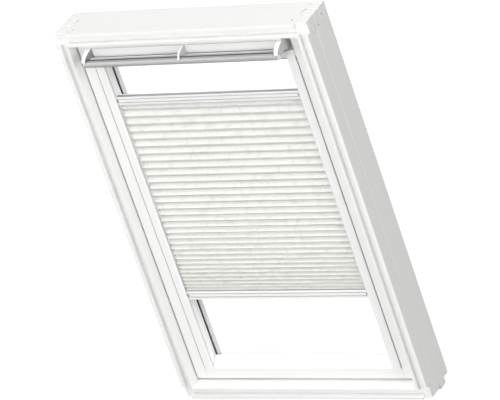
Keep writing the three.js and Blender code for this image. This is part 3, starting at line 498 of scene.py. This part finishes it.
# socket: (its key in a finish's row, the value where a row has none)
plainSockets = {
    "Metallic": ("metallic", 0.0),
    "Specular IOR Level": ("shine", 0.5),
    "Coat Weight": ("coat", 0.0),
    "Coat Roughness": ("coatRoughness", 0.25),
}


def makeFinish(s, direction):
    # direction is "Up" for a member that stands, "Across" for one that lies from side to side,
    # and "Arm" for the arms of the bar, whose streaks run across too
    material, tree, shader = startMaterial(s["name"] + direction)
    place = placeOn(tree)
    stretch = (s["along"], s["across"], s["across"])
    if direction == "Up":
        stretch = (s["across"], s["across"], s["along"])
    colour = (*s["colour"], 1)
    if "crystalAmount" in s:
        colour = addNode(tree, "Group", node_tree=crystals, inputs={
            "Vector": place, "Colour": colour,
            "Scale": s["crystalScale"], "Amount": s["crystalAmount"],
        }).outputs["Colour"]
    grain = addNode(tree, "Group", node_tree=surfaceGrain, inputs={
        "Vector": place, "Stretch": stretch, "Colour": colour,
        "Streak Tone": s["streakTone"], "Streak Height": s["streakHeight"],
        "Grain Scale": s["grainScale"], "Grain Tone": s["grainTone"],
        "Grain Height": s["grainHeight"], "Slow Tone": s["slowTone"],
        "Gloss": s["gloss"], "Gloss Spread": s["glossSpread"],
    }).outputs
    colour, roughness, height = grain["Colour"], grain["Roughness"], grain["Height"]
    if "dust" in s:
        dust = addNode(tree, "Group", node_tree=settledDust, inputs={
            "Vector": place, "Colour": colour, "Amount": s["dust"]}).outputs
        colour = dust["Colour"]
        roughness = maths(tree, "ADD", roughness, dust["Film"], clamp=True)
    # painted shade in grooves, seams and inner corners
    if "paintedShade" in s:
        colour = addNode(tree, "Group", node_tree=cornerPaintedShade, inputs={
            "Colour": colour, "Reach": s["paintedShadeReach"], "Amount": s["paintedShade"],
            "Clear Above": s["paintedShadeOpen"]}).outputs["Colour"]
    if "extra" in s:
        height, colour = s["extra"](tree, place, height, colour)
    linkSurface(tree, shader, colour, roughness, height)
    for socket, (key, usual) in plainSockets.items():
        shader.inputs[socket].default_value = s.get(key, usual)
    return material


finishes = {}


def finishFor(slot, box, arm=False):
    size = box[1] - box[0]
    settings, direction = finishSettings[slot], "Across" if size.x > size.z else "Up"
    if arm:
        # the arms' finish paints shade on the sides that look right
        settings, direction = dict(settings, extra=paintedSideShade), "Arm"
    key = (slot, direction)
    if key not in finishes:
        finishes[key] = makeFinish(settings, direction)
    return finishes[key]


glassSettings = {
    "colour": (0.992, 1.0, 0.996, 1),
    "edgeColour": (0.84, 0.88, 0.86, 1),
    "edgeDepth": 0.004,       # how far in from its edge a pane looks green
    "wipeStretch": (9, 9, 2.5),
    "wipeDetail": 6.0,
    "wipeWarp": 1.2,
    "wipeRange": (0.5, 0.8),
    "smear": 0.012,           # roughness that wiping has left
    "refraction": 1.5,
}


def makeGlass(s):
    material, tree, shader = startMaterial("clearGlass")
    place = placeOn(tree)
    x, _, z = splitVector(tree, place)
    low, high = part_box("inner_pane")
    fromSide = maths(tree, "SUBTRACT", high.x, maths(tree, "ABSOLUTE", x))
    fromMiddle = maths(tree, "SUBTRACT", z, (low.z + high.z) / 2)
    fromEnd = maths(tree, "SUBTRACT", (high.z - low.z) / 2, maths(tree, "ABSOLUTE", fromMiddle))
    edge = spreadRange(
        tree, maths(tree, "MINIMUM", fromSide, fromEnd), 0.0, s["edgeDepth"], 1.0, 0.0)
    wipes = noiseAt(tree, vectorMaths(tree, "MULTIPLY", place, s["wipeStretch"]), 1.0,
                    detail=s["wipeDetail"], warp=s["wipeWarp"])
    smears = spreadRange(tree, wipes, *s["wipeRange"], 0.0, s["smear"])
    colour = mixColours(tree, edge, s["colour"], s["edgeColour"])
    tree.links.new(colour, shader.inputs["Base Color"])
    tree.links.new(smears, shader.inputs["Roughness"])
    shader.inputs["Transmission Weight"].default_value = 1.0
    shader.inputs["IOR"].default_value = s["refraction"]
    # lamps reach what is behind the panes
    clear = addNode(tree, "BsdfTransparent", {"Color": s["colour"]})
    lampRay = addNode(tree, "LightPath").outputs["Is Shadow Ray"]
    mix = addNode(tree, "MixShader", {0: lampRay, 1: shader.outputs[0], 2: clear.outputs[0]})
    tree.links.new(mix.outputs[0], tree.nodes["Material Output"].inputs["Surface"])
    return material


clearGlass = makeGlass(glassSettings)

fabricSettings = {
    "colour": (0.83, 0.832, 0.8, 1),
    "shadeColour": (0.66, 0.665, 0.635, 1),
    # crushed patches, the fine creases between them, and the fibres; scales are per metre
    "patches": {"scale": 34.0, "detail": 4.0, "rough": 0.55, "warp": 0.6},
    "creases": {"scale": 75.0, "detail": 5.0, "rough": 0.6, "warp": 1.5},
    "fibres": {"scale": 2600.0},
    "fibreStretch": (1, 0.35, 1),
    # each: from and to in the effect, and the shade or roughness there
    "patchShade": (0.5, 0.72, 0.0, 0.6),
    # the darker tone along the creases is painted shade
    "creaseShade": (0.0, 0.06, 0.3, 0.0),
    "fibreShade": (0.4, 0.75, 0.0, 0.12),
    "fibreRoughness": (0.3, 0.7, 0.82, 0.95),
    "creaseHeight": 0.44,     # heights and depths in millimetres
    "fibreHeight": 0.03,
    "holeColumns": (0.104, 0.269),   # from the cloth's middle, in metres
    "holePitch": 0.01416,     # about one facet
    "holeRadius": 0.0014,
    "holeRim": 1.8,           # a hole's edge ends at this many radii
    "holeTone": 0.3,
    "holeDepth": 0.3,
    "holeColour": (0.5, 0.5, 0.47, 1),
    "valleyReach": 0.012,     # painted shade where two facets meet
    "valleyOpen": (0.98, 0.6),
    "valleyShade": (0.52, 0.12),     # at the top rail, at the bottom rail
    "valleyColour": (0.4, 0.4, 0.375, 1),
    "sheen": 0.15,
    "shine": 0.25,
}


def makeFabric(s, flat):
    material, tree, shader = startMaterial("pleatedFabric")
    cut = addNode(tree, "UVMap", uv_map="cut").outputs[0]
    x, y, _ = splitVector(tree, cut)
    patches = noiseAt(tree, cut, **s["patches"])
    creases = noiseAt(tree, cut, **s["creases"])
    ridges = maths(tree, "ABSOLUTE", swing(tree, creases, 1.0))
    fibres = noiseAt(tree, vectorMaths(tree, "MULTIPLY", cut, s["fibreStretch"]), **s["fibres"])
    shade = maths(tree, "ADD", spreadRange(tree, patches, *s["patchShade"]),
                  spreadRange(tree, ridges, *s["creaseShade"]))
    shade = maths(tree, "ADD", shade, spreadRange(tree, fibres, *s["fibreShade"]), clamp=True)
    colour = mixColours(tree, shade, s["colour"], s["shadeColour"])
    # painted shade in the valleys between facets, stronger near the top rail
    colour = addNode(tree, "Group", node_tree=cornerPaintedShade, inputs={
        "Colour": colour, "Shade Colour": s["valleyColour"], "Reach": s["valleyReach"],
        "Amount": spreadRange(tree, y, 0.0, flat[1], *s["valleyShade"]),
        "Clear Above": s["valleyOpen"][0], "Full Below": s["valleyOpen"][1],
    }).outputs["Colour"]
    # columns of punched holes, two on each side of the middle
    fromMiddle = maths(tree, "ABSOLUTE", maths(tree, "SUBTRACT", x, flat[0] / 2))
    inner, outer = (maths(tree, "ABSOLUTE", maths(tree, "SUBTRACT", fromMiddle, column))
                    for column in s["holeColumns"])
    hole = holeMask(tree, y, maths(tree, "MINIMUM", inner, outer),
                    s["holePitch"], s["holeRadius"], s["holeRim"])
    colour = mixColours(
        tree, maths(tree, "MULTIPLY", hole, s["holeTone"]), colour, s["holeColour"])
    height = maths(tree, "ADD", maths(tree, "MULTIPLY", ridges, s["creaseHeight"]),
                   maths(tree, "MULTIPLY", fibres, s["fibreHeight"]))
    height = maths(tree, "SUBTRACT", height, maths(tree, "MULTIPLY", hole, s["holeDepth"]))
    linkSurface(tree, shader, colour, spreadRange(tree, fibres, *s["fibreRoughness"]), height)
    shader.inputs["Sheen Weight"].default_value = s["sheen"]
    shader.inputs["Specular IOR Level"].default_value = s["shine"]
    return material


print("finishes mixed")

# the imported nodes: their finish, and a small radius on every long edge

edgeSettings = {
    "sharpAbove": 20,        # degrees
    "longAbove": 0.006,
    "weldBelow": 0.00001,    # vertices nearer than this become one
    "segments": 2,
    # by slot, in metres
    "radius": {
        "white_lacquer": 0.0005,
        "white_enamel": 0.0003,
        "satin_aluminium": 0.0004,
        "grey_cladding": 0.0006,
        "spacer_metal": 0.0004,
        "zinc_steel": 0.0003,
        "pale_plastic": 0.0004,
        "grey_plastic": 0.0003,
        "clear_glass": 0.0004,
    },
}


def makeEdgePicker(s):
    # marks long sharp edges for the Bevel modifier; a sharp edge too short for it stays sharp
    # in the shading, and everything else shades smoothly
    group = bpy.data.node_groups.new("edgePicker", "GeometryNodeTree")
    for way in ("INPUT", "OUTPUT"):
        group.interface.new_socket(name="Geometry", in_out=way, socket_type="NodeSocketGeometry")
    nodes, links = group.nodes, group.links
    begin, end = nodes.new("NodeGroupInput"), nodes.new("NodeGroupOutput")
    bare = nodes.new("GeometryNodeRemoveAttribute")
    bare.inputs["Name"].default_value = "custom_normal"
    faces, edges = (nodes.new("GeometryNodeSetShadeSmooth") for _ in range(2))
    faces.domain, edges.domain = "FACE", "EDGE"
    store = nodes.new("GeometryNodeStoreNamedAttribute")
    store.domain, store.data_type = "EDGE", "FLOAT"
    store.inputs["Name"].default_value = "bevel_weight_edge"
    angle = nodes.new("GeometryNodeInputMeshEdgeAngle").outputs[0]
    ends = nodes.new("GeometryNodeInputMeshEdgeVertices").outputs
    length = vectorMaths(group, "DISTANCE", ends["Position 1"], ends["Position 2"])
    isSharp = maths(group, "GREATER_THAN", angle, math.radians(s["sharpAbove"]))
    isLong = maths(group, "GREATER_THAN", length, s["longAbove"])
    isShort = maths(group, "SUBTRACT", 1.0, isLong)
    isCrisp = maths(group, "MULTIPLY", isSharp, isShort)
    links.new(maths(group, "MULTIPLY", isSharp, isLong), store.inputs["Value"])
    links.new(maths(group, "LESS_THAN", isCrisp, 0.5), edges.inputs["Shade Smooth"])
    chain = [begin, bare, faces, edges, store, end]
    for a, b in zip(chain, chain[1:]):
        links.new(a.outputs[0], b.inputs[0])
    return group


edgePicker = makeEdgePicker(edgeSettings)


def evenNormals(piece, keepSharp):
    weights = piece.modifiers.new("evenNormals", "WEIGHTED_NORMAL")
    weights.keep_sharp = keepSharp


def roundEdges(piece, s, radius):
    weld = piece.modifiers.new("weld", "WELD")
    weld.merge_threshold = s["weldBelow"]
    piece.modifiers.new("pickEdges", "NODES").node_group = edgePicker
    bevel = piece.modifiers.new("roundEdges", "BEVEL")
    bevel.width = radius
    bevel.segments = s["segments"]
    bevel.limit_method = "WEIGHT"
    bevel.use_clamp_overlap = False
    evenNormals(piece, keepSharp=True)


slotOf = {part["node"]: part["material_slot"] for part in frame["record"]["subparts"]}
for nodeName, node in frame["nodes"].items():
    slot = slotOf[nodeName]
    if slot == "clear_glass":
        finish = clearGlass
    elif slot in finishSettings:
        finish = finishFor(slot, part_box(nodeName), arm=nodeName.startswith("bar_arm"))
    else:
        continue
    node.data.materials.clear()
    node.data.materials.append(finish)
    if slot in edgeSettings["radius"]:
        roundEdges(node, edgeSettings, edgeSettings["radius"][slot])
print("frame nodes finished")


# pieces

def makePiece(name, bm, material, body, smooth=True):
    bmesh.ops.recalc_face_normals(bm, faces=bm.faces)
    for face in bm.faces:
        face.smooth = smooth
    mesh = bpy.data.meshes.new(name)
    bm.to_mesh(mesh)
    bm.free()
    piece = addObject(name, mesh)
    mesh.materials.append(material)
    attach(piece, body)
    return piece


def joinLoops(bm, a, b):
    # a closed band of faces between two loops of vertices
    for i in range(len(a)):
        j = (i + 1) % len(a)
        bm.faces.new((a[i], a[j], b[j], b[i]))


def straightBar(profile, x0, x1):
    # a bar from side to side; the profile is (depth, height)
    bm = bmesh.new()
    ends = [[bm.verts.new((x, y, z)) for y, z in profile] for x in (x0, x1)]
    joinLoops(bm, *ends)
    for end in ends:
        bm.faces.new(end)
    return bm


def ringEdges(nodeName):
    # a ring node's opening and its outside, each as (half width, lowest, highest)
    points = [vertex.co for vertex in frame["nodes"][nodeName].data.vertices]
    decimals = 5
    across = sorted({round(abs(p.x), decimals) for p in points})
    heights = sorted({round(p.z, decimals) for p in points})
    return (across[0], heights[1], heights[-2]), (across[-1], heights[0], heights[-1])


def mitredRing(name, inner, outer, profile, material, body):
    # profile: (share of the way from the opening to the outside, depth)
    bm = bmesh.new()
    corners = []
    for side, end in ((-1, 1), (-1, 2), (1, 2), (1, 1)):
        line = []
        for share, depth in profile:
            x = side * (inner[0] + (outer[0] - inner[0]) * share)
            z = inner[end] + (outer[end] - inner[end]) * share
            line.append(bm.verts.new((x, depth, z)))
        corners.append(line)
    for k, corner in enumerate(corners):
        joinLoops(bm, corner, corners[(k + 1) % len(corners)])
    piece = makePiece(name, bm, material, body)
    evenNormals(piece, keepSharp=False)
    return piece


# shares run from the opening to the outside, heights are shares of half the thickness
sealSettings = {
    "noseSteps": 8,
    "gasketNose": 0.12,      # the rounded lip's share of the width
    "gasketArc": (0.5, 1.0),     # where the arc starts and how far it goes, in half turns
    "ribs": (0.3, 0.5, 0.7),
    "ribSide": 0.05,         # from a rib's middle to its side
    "ribDepth": 0.12,        # share of the whole thickness
    "bulb": 0.42,
    "bulbArc": (0.35, 1.3),
    "neck": 0.5,
    "stemHeight": 0.45,
    "barbs": (0.62, 0.76, 0.9),
    "barbLength": 0.02,
    "barbHeight": 0.95,
    "footHeight": 0.4,
}


def noseArc(steps, start, sweep):
    angles = [math.pi * (start + sweep * k / steps) for k in range(steps + 1)]
    return [(1 + math.cos(angle), math.sin(angle)) for angle in angles]


def gasketProfile(s, y0, y1):
    # a rounded lip at the opening, and ribs on the side that meets the glass
    half = (y1 - y0) / 2
    profile = [(s["gasketNose"] * out, y0 + half - half * over)
               for out, over in noseArc(s["noseSteps"], *s["gasketArc"])]
    for share in s["ribs"]:
        profile += [(share - s["ribSide"], y1), (share, y1 - s["ribDepth"] * 2 * half),
                    (share + s["ribSide"], y1)]
    return profile + [(1.0, y1), (1.0, y0)]


def sealProfile(s, y0, y1):
    # a bulb, a neck, and a barbed foot for the groove
    half = (y1 - y0) / 2
    middle = (y0 + y1) / 2
    profile = [(s["bulb"] / 2 * out, middle - half * over)
               for out, over in noseArc(s["noseSteps"], *s["bulbArc"])]
    stem = middle + half * s["stemHeight"]
    upper = [(s["neck"], stem)]
    for share in s["barbs"]:
        upper += [(share, stem), (share + s["barbLength"], middle + half * s["barbHeight"])]
    upper.append((1.0, middle + half * s["footHeight"]))
    return profile + upper + [(share, 2 * middle - depth) for share, depth in reversed(upper)]


def makeSeals(s):
    for nodeName, pieceName, body, makeProfile in (
            ("inner_gasket", "innerGlazingLip", "sash", gasketProfile),
            ("outer_gasket", "outerGlazingLip", "sash", gasketProfile),
            ("weather_seal", "weatherSealBulb", "frame", sealProfile)):
        low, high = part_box(nodeName)
        inner, outer = ringEdges(nodeName)
        rubber = finishFor("black_rubber", (low, high))
        piece = mitredRing(pieceName, inner, outer, makeProfile(s, low.y, high.y),
                           rubber, body)
        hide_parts(nodeName)


makeSeals(sealSettings)
print("seals drawn")

headSealSettings = {
    "front": -0.0528,       # just behind the flap's face
    "thickness": 0.0022,
    "fromFlap": 0.0006,
    "intoHead": 0.0004,
    "endGap": 0.004,
    "curl": 0.0016,         # how far its lower edge curls back
    "steps": 6,
}


def makeHeadSeal(s):
    # a pale lip that closes the gap over the flap, between the outer arms
    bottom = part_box("vent_flap")[1].z + s["fromFlap"]
    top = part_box("frame_top")[0].z - s["intoHead"]
    line = []
    for k in range(s["steps"] + 1):
        t = k / s["steps"]
        line.append((s["front"] + s["curl"] * (1 - t) ** 2, bottom + (top - bottom) * t))
    profile = line + [(y + s["thickness"], z) for y, z in reversed(line)]
    bm = straightBar(profile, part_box("bar_arm_left")[0].x + s["endGap"],
                     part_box("bar_arm_right")[1].x - s["endGap"])
    plastic = finishFor("pale_plastic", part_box("frame_top"))
    makePiece("headLipSeal", bm, plastic, "frame", smooth=False)


makeHeadSeal(headSealSettings)
print("head seal fitted")

sealantSettings = {
    "clearance": 0.0004,
    "shoulder": 0.96,       # shares from the spacer bar to the edge of the panes:
    "hollow": 0.94,         # where its face slopes, and how deep its middle lies
    "slope": 0.0006,
}


def makeSealant(s):
    # the black edge seal between the spacer bar and the edges of the panes
    low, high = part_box("spacer_bar")
    paneLow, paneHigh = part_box("inner_pane")
    bar = ringEdges("spacer_bar")[1]
    gap = s["clearance"]
    inner = (bar[0] + gap, bar[1] - gap, bar[2] + gap)
    outer = (paneHigh.x - gap, paneLow.z + gap, paneHigh.z - gap)
    y0, y1 = low.y + gap, high.y - gap
    profile = [(0, y0), (0, y1), (s["shoulder"], y1), (1.0, y1 - s["slope"]),
               (s["hollow"], (y0 + y1) / 2), (1.0, y0 + s["slope"]), (s["shoulder"], y0)]
    rubber = finishFor("black_rubber", (low, high))
    mitredRing("edgeSealant", inner, outer, profile, rubber, "sash")


makeSealant(sealantSettings)
print("edge sealant run")

channelShadeSettings = {
    "endGap": 0.003,
    "wallGap": 0.0018,      # the rail's wall and a little air
    "sunk": 0.0012,
    "floor": 0.004,         # channel depth
    "lift": 0.0002,         # of the strip's underside off that floor
    "ribs": 7,
    "ribSpan": (0.2, 0.8),  # a rib's two feet, as shares of its step
    "ribSlope": 0.2,        # share of the rib's width that a side takes
    "ribRise": 0.0006,
}


def makeChannelShadeStrips(s):
    # a ribbed grey strip closes each blind rail's open channel; its dark grey is painted shade
    # for the channel's inside
    for nodeName, pieceName, body, upwards in (
            ("blind_top_rail", "channelShadeStripTop", "blind_upper", 1),
            ("blind_bottom_rail", "channelShadeStripBottom", "blind_lower", -1)):
        low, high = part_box(nodeName)
        rim = high.z if upwards > 0 else low.z
        y0, y1 = low.y + s["wallGap"], high.y - s["wallGap"]
        crest = rim - upwards * s["sunk"]
        valley = crest - upwards * s["ribRise"]
        underside = rim - upwards * (s["floor"] - s["lift"])
        profile = [(y0, underside), (y0, valley)]
        for k in range(s["ribs"]):
            a, b = (y0 + (y1 - y0) * (k + share) / s["ribs"] for share in s["ribSpan"])
            slope = s["ribSlope"] * (b - a)
            profile += [(a, valley), (a + slope, crest), (b - slope, crest), (b, valley)]
        profile += [(y1, valley), (y1, underside)]
        bm = straightBar(profile, low.x + s["endGap"], high.x - s["endGap"])
        plastic = finishFor("grey_plastic", (low, high))
        makePiece(pieceName, bm, plastic, body, smooth=False)


makeChannelShadeStrips(channelShadeSettings)
print("channel strips laid")

screwSettings = {
    "sides": 30,
    "lobes": 6,
    # from the rim up over the dome and down into the socket: radius, rise, lobes' share
    "rings": (
        (0.0036, 0, 0), (0.0036, 0.0007, 0), (0.002952, 0.00136, 0), (0.002088, 0.0018, 0),
        (0.001792, 0.0018, 0.096), (0.0016, 0.0016, 0.16), (0.001472, 0.0007, 0.16),
    ),
    "inset": 0.014,          # from the cladding's outer edge
    "sideScrews": 4,
    "crossScrews": 3,
    "firstCorner": 0.3,      # where a ring's first corner stands, in radians,
    "cornerStep": 0.77,      # and how much further on it stands in each next screw
}


def addScrew(bm, s, place, turn):
    # a dome head with a lobed socket, on a face that looks back
    normal = Vector((0, 1, 0))
    aside = normal.orthogonal().normalized()
    over = normal.cross(aside)
    loops = []
    for radius, rise, lobe in s["rings"]:
        loop = []
        for k in range(s["sides"]):
            angle = 2 * math.pi * k / s["sides"] + turn
            out = aside * math.cos(angle) + over * math.sin(angle)
            r = radius * (1 + lobe * math.cos(s["lobes"] * angle))
            loop.append(bm.verts.new(Vector(place) + normal * rise + out * r))
        loops.append(loop)
    for a, b in zip(loops, loops[1:]):
        joinLoops(bm, a, b)
    bm.faces.new(loops[-1])
    bm.faces.new(loops[0])


def makeScrews(s):
    low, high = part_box("cladding_left")
    topLow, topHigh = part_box("cladding_top")
    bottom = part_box("cladding_bottom")[0].z
    places = []
    for side in (-1, 1):
        for k in range(s["sideScrews"]):
            z = low.z + (high.z - low.z) * (k + 0.5) / s["sideScrews"]
            places.append((side * (abs(low.x) - s["inset"]), high.y, z))
    for z in (topHigh.z - s["inset"], bottom + s["inset"]):
        for k in range(s["crossScrews"]):
            x = topLow.x + (topHigh.x - topLow.x) * (k + 0.5) / s["crossScrews"]
            places.append((x, high.y, z))
    bm = bmesh.new()
    for count, place in enumerate(places):
        addScrew(bm, s, place, s["firstCorner"] + count * s["cornerStep"])
    steel = finishFor("zinc_steel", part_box("corner_screw_upper_left"))
    makePiece("claddingScrews", bm, steel, "sash")


makeScrews(screwSettings)
print("screws driven")

clothSettings = {
    "pleats": 32,
    "tightening": 0.6,       # how much narrower the lowest pleat is than the top one
    "tighteningPower": 1.8,
    "facetShare": 1.19,      # facet width against half the widest pleat
    "rowsPerFacet": 4,
    "columns": 150,
    "flat": (0.571, 0.9133),
    "keep": 0.2,
    "bow": 0.0003,           # how far a facet curves out between its folds
    "crush": 0.0004,         # how far the crushed surface stands in and out
    "crushScale": 48.0,
    "crushSlice": 0.7,       # the slice of the noise that is used
    "finerScale": 2.3,       # a second, finer crush against the first
    "finerShare": 0.5,
    "crushAtFold": 0.25,     # share of the crush that is left at a fold
    "waver": 0.0005,         # how far a fold line strays
    "waverScale": 9.0,
    "waverStep": 1.7,        # how unlike two folds next to each other are
    "waverSlice": 3.1,
}


def pleatLines(s, low, high):
    # the folds from the top down: height, swing from the middle, place on the flat cloth
    count = s["pleats"]
    shares = [1 - s["tightening"] * (i / (count - 1)) ** s["tighteningPower"]
              for i in range(count)]
    unit = (high - low) / sum(shares)
    facet = s["facetShare"] * unit / 2
    lines = []
    z = high
    for i, share in enumerate(shares):
        half = unit * share / 2
        swingOut = math.sqrt(facet * facet - half * half) / 2
        lines.append((z, swingOut, 2 * i * facet))
        lines.append((z - half, -swingOut, (2 * i + 1) * facet))
        z -= 2 * half
    lines.append((low, lines[-2][1], 2 * count * facet))
    return lines


def clothPoint(s, x, lines, row, t):
    # a point t of the way down facet "row", with its place on the flat cloth
    (z0, y0, f0), (z1, y1, f1) = lines[row], lines[row + 1]
    flat = f0 + (f1 - f0) * t
    bell = math.sin(math.pi * t)
    square = Vector((0, z1 - z0, y0 - y1)).normalized()      # straight out from the facet
    stray = s["waver"] * noise.noise(
        Vector((x * s["waverScale"], row * s["waverStep"] + t, s["waverSlice"])))
    spot = Vector((x * s["crushScale"], flat * s["crushScale"], s["crushSlice"]))
    crush = s["crush"] * (noise.noise(spot)
                          + s["finerShare"] * noise.noise(spot * s["finerScale"]))
    out = s["bow"] * bell * (-1 if row % 2 else 1)
    out += crush * (s["crushAtFold"] + (1 - s["crushAtFold"]) * bell)
    return Vector((x, y0 + (y1 - y0) * t, z0 + (z1 - z0) * t + stray)) + square * out, flat


def makeCloth(s):
    low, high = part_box("pleated_cloth")
    middle = (low.y + high.y) / 2
    lines = pleatLines(s, low.z, high.z)
    steps, columns = s["rowsPerFacet"], s["columns"]
    bm = bmesh.new()
    uvLayer = bm.loops.layers.uv.new("cut")
    rows = [(r, k / steps) for r in range(len(lines) - 1) for k in range(steps)]
    rows.append((len(lines) - 2, 1.0))
    grid, flats = [], []
    for row, t in rows:
        line = []
        for c in range(columns + 1):
            x = low.x + (high.x - low.x) * c / columns
            point, flat = clothPoint(s, x, lines, row, t)
            point.y += middle
            point.z = min(max(point.z, low.z), high.z)
            line.append(bm.verts.new(point))
        grid.append(line)
        flats.append(flat)
    for r in range(len(rows) - 1):
        for c in range(columns):
            spots = ((r, c), (r + 1, c), (r + 1, c + 1), (r, c + 1))
            face = bm.faces.new([grid[row][column] for row, column in spots])
            face.smooth = True
            for loop, (row, column) in zip(face.loops, spots):
                loop[uvLayer].uv = (column / columns * s["flat"][0], flats[row])
    for r in range(0, len(rows), steps):
        for a, b in zip(grid[r], grid[r][1:]):
            bm.edges.get((a, b)).smooth = False       # a pressed fold stays crisp
    mesh = bpy.data.meshes.new("pleatedCloth")
    bm.to_mesh(mesh)
    bm.free()
    cloth = addObject("pleatedCloth", mesh)
    mesh.materials.append(makeFabric(fabricSettings, s["flat"]))
    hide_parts("pleated_cloth")
    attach(cloth, "blind_lower")
    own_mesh(cloth)


makeCloth(clothSettings)
print("cloth pleated")
